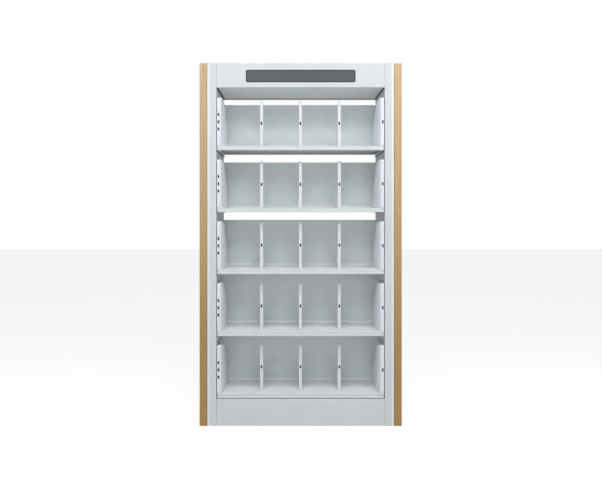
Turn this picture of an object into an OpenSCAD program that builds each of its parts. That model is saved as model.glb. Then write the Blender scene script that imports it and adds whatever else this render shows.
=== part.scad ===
// Library return shelf: one steel bay with five tiers of dividers that hold reading antennas,
// wood end panels, a header with a display behind a service flap, and a hinged plinth.
// Millimetres. X to the right, Y to the back, Z up. The origin is on the floor, at the middle.

/* [Overall] */
// Clear width between the two uprights
opening_w = 910; // [740:1:1100]
// Depth from the front edge of the end panels to the back
case_d = 350; // [290:1:430]
// Gap between the case and the floor, which the feet fill
foot_gap = 4; // [2:0.5:8]
// Thickness of the frame's steel sheet
sheet_t = 1.5; // [1:0.1:2]
// Gap beside and behind a flap, and around lids
flap_gap = 1; // [0.5:0.1:2]

/* [End panels] */
// Thickness of a wood end panel
panel_t = 40; // [20:1:50]
// Radius of the panel's long edges
panel_edge_r = 2; // [1:0.5:5]

/* [Uprights] */
// Width of an upright, seen from the front
post_w = 50; // [46:1:70]
// How far the steel front stands behind the edge of the end panel
post_inset = 2; // [0:0.5:6]
// Width of the slanted strip along the outer edge of an upright
post_bevel_w = 12; // [4:1:20]
// Depth of that slanted strip
post_bevel_d = 3; // [1:0.5:6]
// Width of a shelf slot
slot_w = 4.4; // [4:0.1:6]
// Height of a shelf slot
slot_h = 14; // [10:1:18]
// Distance from one slot to the next
slot_pitch = 33.5; // [33:0.5:41]
// Depth of the front column of slots
slot_front_d = 60; // [30:1:80]
// Distance from the front column of slots to the rear one
slot_span = 175; // [100:1:185]

/* [Shelves] */
// Number of shelves
shelf_count = 5; // [2:1:5]
// Height of the lowest shelf's top surface
low_shelf_z = 175; // [172:1:230]
// Number of slots from one shelf to the next
tier_slots = 10; // [9:1:12]
// Clear height above the top shelf
top_tier_h = 315; // [285:1:400]
// Depth of a shelf
shelf_d = 250; // [240:1:280]
// Distance from the front edge of the case to the shelf
shelf_front_d = 5; // [3:0.5:12]
// Height of a shelf's folded edge
shelf_lip_h = 24; // [18:1:30]
// Height of the bead along the lower part of the front edge
lip_bead_h = 10; // [5:1:12]
// How far the bead stands out
lip_bead_d = 2; // [1:0.5:4]
// Thickness of the shelf's sheet
shelf_t = 1.2; // [0.8:0.1:2]
// Height of the stop along the shelf's rear edge
shelf_stop_h = 8; // [4:0.5:9]
// Gap between a shelf and an upright
shelf_side_gap = 6; // [5:0.5:10]

/* [Shelf cheeks] */
// Height of a cheek above its shelf
cheek_h = 255; // [200:1:265]
// Thickness of a cheek's plate
cheek_t = 2; // [1.5:0.1:3]
// Depth at which a cheek starts behind the front of its antenna
cheek_set = 8; // [6:0.5:14]
// Width of the ledge that a shelf's end rests on
ledge_w = 16; // [10:1:24]
// Width of the cheek's rear flange
cheek_flange_w = 27; // [15:1:40]
// Clearance of a cheek's hook in its slot
hook_fit = 0.4; // [0.2:0.1:0.8]
// How far a hook hangs down behind the wall of the upright
hook_drop = 8; // [4:1:10]
// Gap between the end of a shelf and a cheek's plate
cheek_gap = 2; // [1:0.5:3]

/* [Back panels] */
// Height of a back panel's top edge above its shelf
back_top_h = 266; // [220:1:280]
// The same height in the lower tiers, where the panel closes the gap below the next shelf
back_tall_h = 290; // [220:1:300]
// Number of lower tiers with the taller back panel
back_tall_tiers = 2; // [0:1:5]
// Gap between a shelf and its back panel
back_foot_h = 10; // [10:1:20]
// How far a back panel stands in front of the shelf's rear edge
back_set = 5; // [4:0.5:10]
// Depth of the folded edges of a back panel
back_fold_d = 10; // [5:1:15]

/* [Dividers] */
// Number of dividers on a shelf
divider_count = 3; // [1:1:3]
// Thickness of a divider
divider_t = 16; // [12:0.5:20]
// Height of a divider
divider_h = 257; // [200:1:270]
// Depth at which a divider starts
divider_front_d = 65; // [40:1:80]
// Length of a divider along its foot
divider_len = 170; // [120:1:180]
// Height at which the slanted rear edge of a divider ends
divider_heel_h = 55; // [30:1:100]
// Radius of the divider's top
divider_top_r = 12; // [6:1:20]
// Wall of the moulded shells
shell_t = 2; // [1.5:0.1:2.5]
// Gap between the two shells of a divider
shell_gap = 0.2; // [0.1:0.05:0.4]
// Radius of the other corners
corner_r = 5; // [5:0.5:10]

/* [Side antennas] */
// Thickness of a side antenna's cover
side_t = 30; // [22:1:34]
// Depth at which a side antenna starts
side_front_d = 6; // [4:1:12]
// Length of a side antenna along its foot
side_len = 239; // [200:1:240]
// Height of a side antenna
side_h = 262; // [210:1:275]
// Depth of the top before the edge slants down
side_top_d = 82; // [40:1:120]
// How much the top falls towards the back
side_top_fall = 10; // [0:1:20]
// Height at which the slanted rear edge ends
side_heel_h = 75; // [30:1:120]
// Width of the flat front
side_flat_w = 14; // [11:0.5:18]
// Gap between a cheek's plate and the cover
side_gap = 0.2; // [0.1:0.1:1]

/* [Sensor windows] */
// Width of a sensor window
window_w = 9; // [6:0.5:10]
// Height of a sensor window
window_h = 16; // [10:1:24]
// Height of the middle window above its shelf
window_z = 130; // [100:1:160]
// Distance between the three windows of a left cover
window_pitch = 39; // [20:1:50]
// Depth of the seat that holds a window
window_seat = 1; // [0.5:0.1:1.2]
// How far a window stands out
window_proud = 0.4; // [0:0.1:1]
// Thickness of an antenna board
board_t = 1.6; // [1:0.1:2]

/* [Header] */
// Height of the header
header_h = 130; // [110:1:180]
// Width of the display window
display_w = 592; // [300:1:640]
// Height of the display window
display_h = 68; // [40:1:75]
// Radius of the window's corners
display_r = 10; // [5:1:20]
// Height of the window's centre above the header's lower edge
display_z = 61; // [50:1:62]
// Thickness of the display window
display_t = 3; // [2:0.5:4]
// Gap around the display window
display_fit = 0.3; // [0.1:0.1:0.6]
// Depth of the display board behind the window
display_board_d = 18; // [10:1:25]
// Height of the header floor's folded edges
pan_edge_h = 20; // [10:1:30]
// Radius of the cable hole in the header's floor
cable_hole_r = 6; // [4:0.5:10]
// Distance of the cable hole from the left upright
cable_hole_x = 80; // [30:1:200]
// Distance of the cable hole from the back
cable_hole_d = 53; // [20:1:100]
// Radius of a wall fixing hole
wall_hole_r = 3.5; // [2:0.5:5]
// Distance of a wall fixing hole from the upright
wall_hole_x = 55; // [20:1:200]
// Distance of the wall fixing holes below the top
wall_hole_drop = 30; // [20:1:60]

/* [Flaps] */
// Radius of a hinge pin
pin_r = 3; // [2:0.1:4]
// Clearance of a hinge pin in a flap
pin_fit = 0.05; // [0.02:0.01:0.1]
// Depth of the header flap's axis behind its front
header_axis_d = 25; // [20:1:32]
// Distance of the header flap's axis below the top
header_axis_drop = 10; // [7:0.5:14]
// Height of the plinth flap's top edge
plinth_h = 148; // [130:1:148]
// Radius of the plinth flap's top edge
plinth_r = 8; // [6:0.5:12]
// Depth of the strip that a flap has behind its axis
flap_strip_d = 12; // [8:0.5:14]
// Depth of a flap's folded edges
flap_fold_d = 12; // [8:1:16]

/* [Feet] */
// Radius of a levelling foot
foot_r = 18; // [12:0.5:20]
// Radius of its threaded stud
stud_r = 5; // [4:0.5:6]
// Clearance of the stud in the nut
stud_fit = 0.05; // [0.02:0.01:0.1]
// Height of the foot plate's underside
foot_plate_z = 30; // [25:1:40]
// Height of the flange on a foot
foot_pad_h = 8; // [5:0.5:12]
// Height of the top of the stud
stud_top_z = 62; // [50:1:80]
// Distance of a foot from the front and from the back
foot_inset_d = 45; // [30:1:60]

/* [Electrics] */
// Width of the power inlet's body
inlet_w = 27.5; // [27:0.5:28]
// Height of the power inlet's body
inlet_h = 20; // [19:0.5:25]
// Distance of the power inlet from the right upright
inlet_side = 155; // [60:1:300]
// Height of the power inlet
inlet_z = 75; // [50:1:100]
// Radius of the wire loom
loom_r = 4; // [2:0.5:6]
// Depth at which the loom runs up the right upright
loom_d = 150; // [100:1:200]

/* [Hidden] */
$fn = 48;
cut = 1;

// Widths
half_open = opening_w / 2;
half_frame = half_open + post_w;
half_case = half_frame + panel_t;
flap_w = opening_w - 2 * flap_gap;
shelf_w = opening_w - 2 * shelf_side_gap;
// The cheek's plate stands in the gap beside the shelf
cheek_x = half_open - shelf_side_gap + cheek_gap;
side_outer_x = cheek_x - side_gap;
side_inner_x = side_outer_x - side_t;
bay_w = (2 * side_inner_x - divider_count * divider_t) / (divider_count + 1);
divider_pitch = bay_w + divider_t;

// Depths, as Y
front_y = -case_d / 2;
back_y = case_d / 2;
face_y = front_y + post_inset;
shelf_y = front_y + shelf_front_d;
side_y = front_y + side_front_d;
divider_y = front_y + divider_front_d;
slot_ys = [front_y + slot_front_d, front_y + slot_front_d + slot_span];
// Back panels stand against the rear flanges of the cheeks
back_panel_y = shelf_y + shelf_d - back_set;

// Heights
tier_pitch = tier_slots * slot_pitch;
header_z = low_shelf_z + (shelf_count - 1) * tier_pitch + top_tier_h;
case_h = header_z + header_h;
frame_top = case_h - sheet_t;
function shelf_z(tier) = low_shelf_z + (shelf_count - tier) * tier_pitch;
function divider_x(n) = (n - (divider_count + 1) / 2) * divider_pitch;
// Slots start at the lowest hooks of the lowest shelf and end below the header
hook_z = 30;
slot_low_z = low_shelf_z + hook_z;
slot_last = floor((header_z - slot_h - slot_low_z) / slot_pitch);
// A cheek has two pairs of hooks, five slots apart
hook_rise = 5 * slot_pitch;
hook_t = slot_w - 2 * hook_fit;
hook_tip_t = 2.2;
hook_end_x = half_open + sheet_t + hook_fit + hook_tip_t;

// Hinge axes, as [Y, Z]
header_axis = [face_y + header_axis_d, case_h - header_axis_drop];
plinth_axis = [face_y + plinth_r, plinth_h - plinth_r];
// The header flap's top strip ends behind its axis; the lid starts after a gap
flap_strip_y = header_axis[0] + flap_strip_d;
lid_front_y = flap_strip_y + flap_gap;

// Circles at the corners of the moulded outlines, as [Y, Z, radius], anticlockwise
divider_corners = [
    [divider_y + corner_r, corner_r, corner_r],
    [divider_y + divider_len - corner_r, corner_r, corner_r],
    [divider_y + divider_len - corner_r, divider_heel_h, corner_r],
    [divider_y + divider_top_r, divider_h - divider_top_r, divider_top_r]
];
side_corners = [
    [side_y + corner_r, corner_r, corner_r],
    [side_y + side_len - corner_r, corner_r, corner_r],
    [side_y + side_len - corner_r, side_heel_h, corner_r],
    [side_y + side_top_d - corner_r, side_h - side_top_fall - corner_r, corner_r],
    [side_y + divider_top_r, side_h - divider_top_r, divider_top_r]
];

// Base: it clears the swing of the plinth flap's fold, and the flap's top edge stands above it
base_lift = 6;
base_set = 25;
base_drop = 2;
base_z = foot_gap + base_lift;
base_front_y = front_y + base_set;
base_top_z = plinth_h - base_drop;

// Electrics: the supply and the reader stand in line with the loom
loom_x = half_open + post_w / 2;
loom_y = front_y + loom_d;
loom_low_z = 45;
loom_high_z = header_z + 75;
loom_hole_r = loom_r + 5;
loom_plug_x = half_open - 40;
loom_plug_size = [14, 16, 12];
inlet_x = half_open - inlet_side;
supply_size = [160, 90, 42];
supply_pos = [inlet_x - supply_size[0] / 2, loom_y - supply_size[1] / 2, base_z + sheet_t];
reader_size = [180, 130, 32];
reader_side = 125;
reader_pos = [-half_open + reader_side, loom_y - reader_size[1] / 2, base_z + sheet_t];
// Feet stand under the middle of the uprights, each in a nut on a welded plate
foot_x = loom_x;
foot_plate_t = 4;
foot_nut_r = stud_r + 4;
foot_nut_h = 8;
foot_hex_h = 6;

// Bolts that hold the end panels
bolt_r = 3;
bolt_head_r = 5.5;
bolt_head_h = 4;
bolt_bite = 20;
bolt_ys = [front_y + 100, back_y - 100];
bolt_zs = [150, case_h / 2, header_z - 40];

// ---- Helpers ----

// A box between two corners
module block(low, high) {
    translate(low) cube(high - low);
}

// A Y-Z outline drawn out along X
module along_x(x0, x1) {
    translate([x0, 0, 0]) rotate([90, 0, 90]) linear_extrude(x1 - x0) children();
}

// A cylinder along X
module rod_x(x0, x1, y, z, r) {
    translate([x0, y, z]) rotate([0, 90, 0]) cylinder(h = x1 - x0, r = r);
}

// Puts a piece drawn for the right side on side s: -1 is left, 1 is right
module on_side(s) {
    mirror([s < 0 ? 1 : 0, 0, 0]) children();
}

// Unit vector that points outwards from the line that touches circles a and b
function tangent_out(a, b) =
    let (d = [b[0] - a[0], b[1] - a[1]],
         angle = atan2(d[1], d[0]) - acos((a[2] - b[2]) / norm(d)))
    [cos(angle), sin(angle)];

// Outline around a ring of corner circles, set in by an even wall
module ring_outline(corners, wall = 0) {
    last = len(corners) - 1;
    polygon([
        for (i = [0:last])
            let (a = corners[i],
                 b = corners[i == last ? 0 : i + 1],
                 out = tangent_out(a, b))
            for (c = [a, b]) [c[0] + (c[2] - wall) * out[0], c[1] + (c[2] - wall) * out[1]]
    ]);
    for (c = corners) translate([c[0], c[1]]) circle(r = c[2] - wall);
}

// Outline of a board that reaches to the centres of the corner circles
module board_outline(corners) {
    polygon([for (c = corners) [c[0], c[1]]]);
}

// A rectangle with round corners, centred
module round_rect(w, h, r) {
    square([w - 2 * r, h], center = true);
    square([w, h - 2 * r], center = true);
    for (x = [-1, 1]) for (y = [-1, 1]) translate([x * (w / 2 - r), y * (h / 2 - r)]) circle(r = r);
}

// ---- End panels ----

module end_panel(s) {
    color("#C9A06E") on_side(s) difference() {
        translate([half_frame + panel_t / 2, 0, foot_gap])
            linear_extrude(case_h - foot_gap) round_rect(panel_t, case_d, panel_edge_r);
        for (y = bolt_ys) for (z = bolt_zs)
            rod_x(half_frame - cut, half_frame + bolt_bite + cut, y, z, bolt_r);
    }
}

// ---- Uprights ----

// Section of an upright, set in by an even wall
module upright_section(wall = 0) {
    polygon([
        [half_open + wall, face_y + wall],
        [half_frame - post_bevel_w, face_y + wall],
        [half_frame - wall, face_y + post_bevel_d + wall],
        [half_frame - wall, back_y - wall],
        [half_open + wall, back_y - wall]
    ]);
}

// Welded plate and nut that take a foot's stud
module foot_plate(y) {
    plate_half = foot_r + 6;
    nut_z = foot_plate_z + foot_plate_t;
    difference() {
        union() {
            block([half_open + sheet_t / 2, y - plate_half, foot_plate_z],
                  [half_frame - sheet_t / 2, y + plate_half, nut_z]);
            translate([foot_x, y, nut_z]) cylinder(h = foot_nut_h, r = foot_nut_r, $fn = 6);
        }
        translate([foot_x, y, foot_plate_z - cut])
            cylinder(h = foot_plate_t + foot_nut_h + 2 * cut, r = stud_r + stud_fit);
    }
}

module upright(s) {
    color("#D6DEE0") on_side(s) {
        difference() {
            translate([0, 0, foot_gap]) linear_extrude(frame_top - foot_gap) difference() {
                upright_section();
                upright_section(sheet_t);
            }
            for (y = slot_ys) for (n = [0:slot_last])
                block([half_open - cut, y - slot_w / 2, slot_low_z + n * slot_pitch],
                      [half_open + sheet_t + cut, y + slot_w / 2, slot_low_z + n * slot_pitch + slot_h]);
            for (axis = [header_axis, plinth_axis])
                rod_x(half_open - cut, half_open + sheet_t + cut, axis[0], axis[1], pin_r);
            for (z = [loom_low_z, loom_high_z])
                rod_x(half_open - cut, half_open + sheet_t + cut, loom_y, z, loom_hole_r);
            for (y = bolt_ys) for (z = bolt_zs)
                rod_x(half_frame - sheet_t - cut, half_frame + cut, y, z, bolt_r);
        }
        foot_plate(front_y + foot_inset_d);
        foot_plate(back_y - foot_inset_d);
    }
}

// Bolts from inside an upright into the end panel
module panel_bolts() {
    color("#9AA0A4") for (s = [-1, 1]) on_side(s) for (y = bolt_ys) for (z = bolt_zs) {
        rod_x(half_frame - sheet_t - bolt_head_h, half_frame - sheet_t, y, z, bolt_head_r);
        rod_x(half_frame - sheet_t, half_frame + bolt_bite, y, z, bolt_r);
    }
}

// ---- Header ----

// Lid over the header and both uprights, with a rear wall; the flap turns in front of it
module top_cover() {
    color("#D6DEE0") difference() {
        union() {
            block([-half_open, lid_front_y, frame_top], [half_open, back_y, case_h]);
            for (s = [-1, 1]) on_side(s)
                translate([0, 0, frame_top]) linear_extrude(sheet_t) upright_section();
            block([-half_open, back_y - sheet_t, header_z], [half_open, back_y, case_h]);
        }
        for (s = [-1, 1])
            translate([s * (half_open - wall_hole_x), back_y + cut, case_h - wall_hole_drop])
                rotate([90, 0, 0]) cylinder(h = sheet_t + 2 * cut, r = wall_hole_r);
    }
}

// Tray that closes the header from below and carries its wiring; wings hold it on the uprights
module header_pan() {
    wing_back_y = back_y - 10;
    pan_front_y = face_y + flap_fold_d + flap_gap;
    pan_back_y = back_y - sheet_t;
    side_x = half_open - shelf_side_gap;
    edge_z = header_z + pan_edge_h;
    color("#CDD5D7") {
        difference() {
            block([-side_x, pan_front_y, header_z], [side_x, pan_back_y, edge_z]);
            block([-side_x + sheet_t, pan_front_y + sheet_t, header_z + sheet_t],
                  [side_x - sheet_t, pan_back_y - sheet_t, edge_z + cut]);
            translate([-half_open + cable_hole_x, back_y - cable_hole_d, header_z - cut])
                cylinder(h = sheet_t + 2 * cut, r = cable_hole_r);
        }
        for (s = [-1, 1]) on_side(s)
            block([side_x - sheet_t, lid_front_y, edge_z - sheet_t], [half_open, wing_back_y, edge_z]);
    }
}

// Opening of the display, or the window that fills it
module display_shape(y0, y1, gap = 0) {
    translate([0, y1, header_z + display_z]) rotate([90, 0, 0]) linear_extrude(y1 - y0)
        round_rect(display_w - 2 * gap, display_h - 2 * gap, display_r - gap);
}

// Front of the header, hinged near its top
module header_flap() {
    half_w = flap_w / 2;
    web_low_z = case_h - 45;
    web_high_z = case_h - 20;
    color("#DCE4E6") difference() {
        union() {
            // Front sheet, top strip and lower fold
            block([-half_w, face_y, header_z], [half_w, face_y + sheet_t, case_h]);
            block([-half_w, face_y, frame_top], [half_w, flap_strip_y, case_h]);
            block([-half_w, face_y, header_z], [half_w, face_y + flap_fold_d, header_z + sheet_t]);
            // End webs, deeper at the hinge
            for (s = [-1, 1]) on_side(s) along_x(half_w - sheet_t, half_w) polygon([
                [face_y, header_z],
                [face_y + flap_fold_d, header_z],
                [face_y + flap_fold_d, web_low_z],
                [flap_strip_y, web_high_z],
                [flap_strip_y, case_h],
                [face_y, case_h]
            ]);
        }
        display_shape(face_y - cut, face_y + sheet_t + cut);
        rod_x(-half_w - cut, half_w + cut, header_axis[0], header_axis[1], pin_r + pin_fit);
    }
}

// Smoked window, with a flange that seats behind the sheet
module display_window() {
    set_back = 0.5;
    flange_w = 5;
    color("#666B6E", 0.9) {
        display_shape(face_y + set_back, face_y + sheet_t, display_fit);
        display_shape(face_y + sheet_t, face_y + sheet_t + display_t, -flange_w);
    }
}

// Board with its row of light modules, on a leg at each end that stands on the sheet
module display_board() {
    modules = 9;
    module_w = display_w / modules;
    side_inset = 0.5;
    top_inset = 2;
    leg_w = 12;
    leg_h = 20;
    half_w = display_w / 2;
    low_z = header_z + display_z - display_h / 2;
    high_z = low_z + display_h;
    leg_low_z = header_z + display_z - leg_h / 2;
    lights_y = face_y + sheet_t + display_t + 1;
    rear_y = lights_y + display_board_d;
    color("#22262A") {
        block([-half_w, rear_y - board_t, low_z], [half_w, rear_y, high_z]);
        for (n = [0:modules - 1])
            block([-half_w + n * module_w + side_inset, lights_y, low_z + top_inset],
                  [-half_w + (n + 1) * module_w - side_inset, rear_y - board_t / 2, high_z - top_inset]);
        for (s = [-1, 1]) on_side(s) {
            block([half_w + leg_w / 2, face_y + sheet_t, leg_low_z],
                  [half_w + leg_w * 3 / 2, rear_y, leg_low_z + leg_h]);
            block([half_w, rear_y - board_t, leg_low_z],
                  [half_w + leg_w, rear_y, leg_low_z + leg_h]);
        }
    }
}

// ---- Hinges ----

// Pins in the uprights: two for the header flap and two for the plinth flap
module hinge_pins() {
    reach = 5;
    head_h = 2;
    head_r = pin_r + 1.5;
    color("#9AA0A4") for (s = [-1, 1]) on_side(s) for (axis = [header_axis, plinth_axis]) {
        rod_x(half_open - reach, half_open + sheet_t, axis[0], axis[1], pin_r);
        rod_x(half_open + sheet_t, half_open + sheet_t + head_h, axis[0], axis[1], head_r);
    }
}

// ---- Plinth and base ----

// Quarter ring around the plinth's axis, and all that it closes when solid
module plinth_edge(inner_r) {
    intersection() {
        translate(plinth_axis) difference() {
            circle(r = plinth_r);
            if (inner_r > 0) circle(r = inner_r);
        }
        translate([face_y, plinth_axis[1]]) square([plinth_r, plinth_r]);
    }
}

// Front of the plinth, hinged on the centre of its round top edge
module plinth_flap() {
    half_w = flap_w / 2;
    strip_d = plinth_r;
    rear_y = plinth_axis[0] + strip_d;
    web_high_z = plinth_axis[1] - 20;
    color("#C4CACD") difference() {
        union() {
            along_x(-half_w, half_w) {
                translate([face_y, foot_gap]) square([sheet_t, plinth_axis[1] - foot_gap]);
                plinth_edge(plinth_r - sheet_t);
                translate([plinth_axis[0], plinth_h - sheet_t]) square([strip_d, sheet_t]);
                translate([face_y, foot_gap]) square([flap_fold_d, sheet_t]);
            }
            for (s = [-1, 1]) on_side(s) along_x(half_w - sheet_t, half_w) {
                plinth_edge(0);
                polygon([
                    [face_y, foot_gap],
                    [face_y + flap_fold_d, foot_gap],
                    [rear_y, web_high_z],
                    [rear_y, plinth_h],
                    [plinth_axis[0], plinth_h],
                    [plinth_axis[0], plinth_axis[1]],
                    [face_y, plinth_axis[1]]
                ]);
            }
        }
        rod_x(-half_w - cut, half_w + cut, plinth_axis[0], plinth_axis[1], pin_r + pin_fit);
    }
}

// Floor, rear wall and rear lid of the plinth, with the inlet's cut-out and air slots
module base_pan() {
    vents = 8;
    vent_pitch = 12;
    vent_w = 5;
    vent_low_z = 55;
    vent_high_z = 105;
    front_edge_h = 14;
    side_edge_h = 30;
    color("#C4CACD") difference() {
        union() {
            block([-half_open, base_front_y, base_z], [half_open, back_y, base_z + sheet_t]);
            block([-half_open, base_front_y, base_z],
                  [half_open, base_front_y + sheet_t, base_z + front_edge_h]);
            block([-half_open, back_y - sheet_t, base_z], [half_open, back_y, base_top_z]);
            block([-half_open, back_panel_y, base_top_z - sheet_t], [half_open, back_y, base_top_z]);
            for (s = [-1, 1]) on_side(s)
                block([half_open - sheet_t, base_front_y, base_z],
                      [half_open, back_y, base_z + side_edge_h]);
        }
        block([inlet_x - inlet_w / 2, back_y - sheet_t - cut, inlet_z - inlet_h / 2],
              [inlet_x + inlet_w / 2, back_y + cut, inlet_z + inlet_h / 2]);
        for (n = [1:vents])
            block([-n * vent_pitch, back_y - sheet_t - cut, vent_low_z],
                  [-n * vent_pitch + vent_w, back_y + cut, vent_high_z]);
    }
}

// Inlet with its flange inside the wall and three contact blades, the middle one higher
module power_inlet() {
    body_d = 24;
    mouth_d = 18;
    mouth_wall = 2;
    flange_w = 50;
    flange_t = 3;
    flange_rim = 2;
    blade = [2, 14, 4];
    blade_pitch = 7;
    blade_rise = 3;
    blade_foot = 1;
    half_w = inlet_w / 2;
    half_h = inlet_h / 2;
    color("#202224") translate([inlet_x, back_y, inlet_z]) {
        difference() {
            union() {
                block([-half_w, -body_d, -half_h], [half_w, 0, half_h]);
                block([-flange_w / 2, -sheet_t - flange_t, -half_h - flange_rim],
                      [flange_w / 2, -sheet_t, half_h + flange_rim]);
            }
            block([-half_w + mouth_wall, -mouth_d, -half_h + mouth_wall],
                  [half_w - mouth_wall, cut, half_h - mouth_wall]);
        }
        for (n = [-1:1])
            translate([n * blade_pitch - blade[0] / 2, -mouth_d - blade_foot,
                       (n == 0 ? blade_rise : -blade_rise) - blade[2] / 2])
                cube(blade + [0, blade_foot, 0]);
    }
}

// Supply with a row of six sunk terminals on its front
module power_supply() {
    terminal = [10, 3, 20];
    color("#A9AEB2") difference() {
        block(supply_pos, supply_pos + supply_size);
        for (n = [1:6])
            translate(supply_pos + [n * 2 * terminal[0], -cut, 10]) cube(terminal + [0, cut, 0]);
    }
}

// Reader box with four antenna sockets on its front
module rfid_reader() {
    socket_r = 5;
    socket_h = 12;
    socket_x = 30;
    socket_pitch = 40;
    color("#3A3F44") {
        block(reader_pos, reader_pos + reader_size);
        for (n = [0:3])
            translate(reader_pos + [socket_x + n * socket_pitch, cut, reader_size[2] / 2])
                rotate([90, 0, 0]) cylinder(h = socket_h + cut, r = socket_r);
    }
}

// Loom from the base, up inside the right upright, to the header
module wire_loom() {
    supply_x = supply_pos[0] + supply_size[0];
    color("#1C1E20") {
        rod_x(supply_x, loom_x, loom_y, loom_low_z, loom_r);
        translate([loom_x, loom_y, loom_low_z]) cylinder(h = loom_high_z - loom_low_z, r = loom_r);
        rod_x(loom_plug_x, loom_x, loom_y, loom_high_z, loom_r);
        for (z = [loom_low_z, loom_high_z]) translate([loom_x, loom_y, z]) sphere(r = loom_r);
        translate([loom_plug_x - loom_plug_size[0] / 2, loom_y, loom_high_z])
            cube(loom_plug_size, center = true);
    }
}

// ---- Feet ----

// Foot n: 1 front left, 2 front right, 3 back left, 4 back right
module foot(n) {
    x = n % 2 == 1 ? -foot_x : foot_x;
    y = n <= 2 ? front_y + foot_inset_d : back_y - foot_inset_d;
    color("#2A2C2E") translate([x, y, 0]) {
        cylinder(h = foot_pad_h, r = foot_r);
        cylinder(h = foot_pad_h + foot_hex_h, r = foot_nut_r, $fn = 6);
        cylinder(h = stud_top_z, r = stud_r);
    }
}

// ---- Shelves ----

module shelf(tier) {
    z = shelf_z(tier);
    low = z - shelf_lip_h;
    half_w = shelf_w / 2;
    web_y = shelf_y + lip_bead_d;
    rear_y = shelf_y + shelf_d;
    bead_fold_d = 14;
    stiffener_h = 16;
    stiffener_d = 30;
    stiffener_x = half_w - 20;
    color("#D3DBDE") {
        // Top sheet and front web
        block([-half_w, web_y, z - shelf_t], [half_w, rear_y, z]);
        block([-half_w, web_y, low], [half_w, web_y + shelf_t, z]);
        // Bead along the lower edge, and the fold behind it
        block([-half_w, shelf_y, low], [half_w, web_y + shelf_t, low + lip_bead_h]);
        block([-half_w, shelf_y, low], [half_w, shelf_y + bead_fold_d, low + shelf_t]);
        // Rear fold with a stop above it, and end folds
        block([-half_w, rear_y - shelf_t, low], [half_w, rear_y, z + shelf_stop_h]);
        for (s = [-1, 1]) on_side(s) block([half_w - shelf_t, web_y, low], [half_w, rear_y, z]);
        // Stiffener under the middle: a channel, open at its ends
        translate([0, shelf_y + shelf_d / 2, z - stiffener_h]) {
            for (y = [-stiffener_d / 2, stiffener_d / 2 - shelf_t])
                block([-stiffener_x, y, 0], [stiffener_x, y + shelf_t, stiffener_h]);
            block([-stiffener_x, -stiffener_d / 2, 0], [stiffener_x, stiffener_d / 2, shelf_t]);
        }
    }
}

// Cheeks on one side: a plate beside each shelf, a ledge below it, a rear flange and four hooks
module cheeks(s) {
    front = side_y + cheek_set;
    rear = back_panel_y;
    ledge_set = 6;
    color("#B9C0C3") on_side(s) for (tier = [1:shelf_count]) {
        z = shelf_z(tier);
        ledge_z = z - shelf_lip_h;
        block([cheek_x, front, ledge_z - cheek_t], [cheek_x + cheek_t, rear, z + cheek_h]);
        block([cheek_x - ledge_w, front + ledge_set, ledge_z - cheek_t],
              [cheek_x + cheek_t, rear, ledge_z]);
        block([cheek_x + cheek_t - cheek_flange_w, rear - cheek_t, z + flap_gap],
              [cheek_x + cheek_t, rear, z + cheek_h]);
        for (y = slot_ys) for (rise = [0, hook_rise]) {
            hook_low = z + hook_z + rise;
            block([cheek_x + cheek_t / 2, y - hook_t / 2, hook_low],
                  [hook_end_x, y + hook_t / 2, hook_low + slot_h - 2 * hook_fit]);
            block([half_open + sheet_t + hook_fit, y - hook_t / 2, hook_low - hook_drop],
                  [hook_end_x, y + hook_t / 2, hook_low + cut]);
        }
    }
}

module back_panel(tier) {
    z = shelf_z(tier);
    half_w = cheek_x + cheek_t;
    low = z + back_foot_h;
    high = z + (tier > shelf_count - back_tall_tiers ? back_tall_h : back_top_h);
    color("#AEB4B4") {
        block([-half_w, back_panel_y, low], [half_w, back_panel_y + shelf_t, high]);
        for (edge = [low, high - shelf_t])
            block([-half_w, back_panel_y, edge], [half_w, back_panel_y + back_fold_d, edge + shelf_t]);
        for (s = [-1, 1]) on_side(s)
            block([half_w - shelf_t, back_panel_y, low], [half_w, back_panel_y + back_fold_d, high]);
    }
}

// ---- Dividers and side antennas ----

// Seat of a sensor window, or the window that fills it, on a front at depth y
module sensor_window(x, y, z, proud) {
    block([x - window_w / 2, y - proud, z - window_h / 2],
          [x + window_w / 2, y + window_seat, z + window_h / 2]);
}

// Two moulded shells with a hollow for the antenna board
module divider(tier, n) {
    half_t = divider_t / 2;
    color("#E1E4EE") translate([divider_x(n), 0, shelf_z(tier)]) difference() {
        for (s = [-1, 1]) on_side(s) difference() {
            along_x(shell_gap / 2, half_t) ring_outline(divider_corners);
            along_x(0, half_t - shell_t) ring_outline(divider_corners, shell_t);
        }
        sensor_window(0, divider_y, window_z, cut);
    }
}

// Plan of a side antenna's cover, set in by an even wall: flat front, then a quarter ellipse
module side_plan(wall = 0, open = 0) {
    nose_w = side_t - side_flat_w;
    nose_d = side_top_d;
    steps = 10;
    polygon(concat(
        [[side_outer_x + open, side_y + wall]],
        [for (i = [0:steps]) let (a = 90 * i / steps)
            [side_inner_x + nose_w - (nose_w - wall) * sin(a),
             side_y + nose_d - (nose_d - wall) * cos(a)]],
        [[side_inner_x + wall, side_y + side_len], [side_outer_x + open, side_y + side_len]]
    ));
}

// Heights of the sensor windows on a side antenna
function side_windows(s) =
    s < 0 ? [window_z - window_pitch, window_z, window_z + window_pitch] : [window_z];
side_window_x = side_outer_x - side_flat_w / 2;
// Boards stand near the open side of the covers
side_board_set = 8;
side_board_x = side_outer_x - side_board_set;

// Moulded cover, open towards the cheek that it is clipped to
module side_antenna(s, tier) {
    color("#E1E4EE") translate([0, 0, shelf_z(tier)]) on_side(s) difference() {
        intersection() {
            along_x(side_inner_x, side_outer_x) ring_outline(side_corners);
            linear_extrude(side_h) side_plan();
        }
        intersection() {
            along_x(side_inner_x, side_outer_x + cut) ring_outline(side_corners, shell_t);
            linear_extrude(side_h) side_plan(shell_t, cut);
        }
        for (z = side_windows(s)) sensor_window(side_window_x, side_y, z, cut);
    }
}

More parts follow.
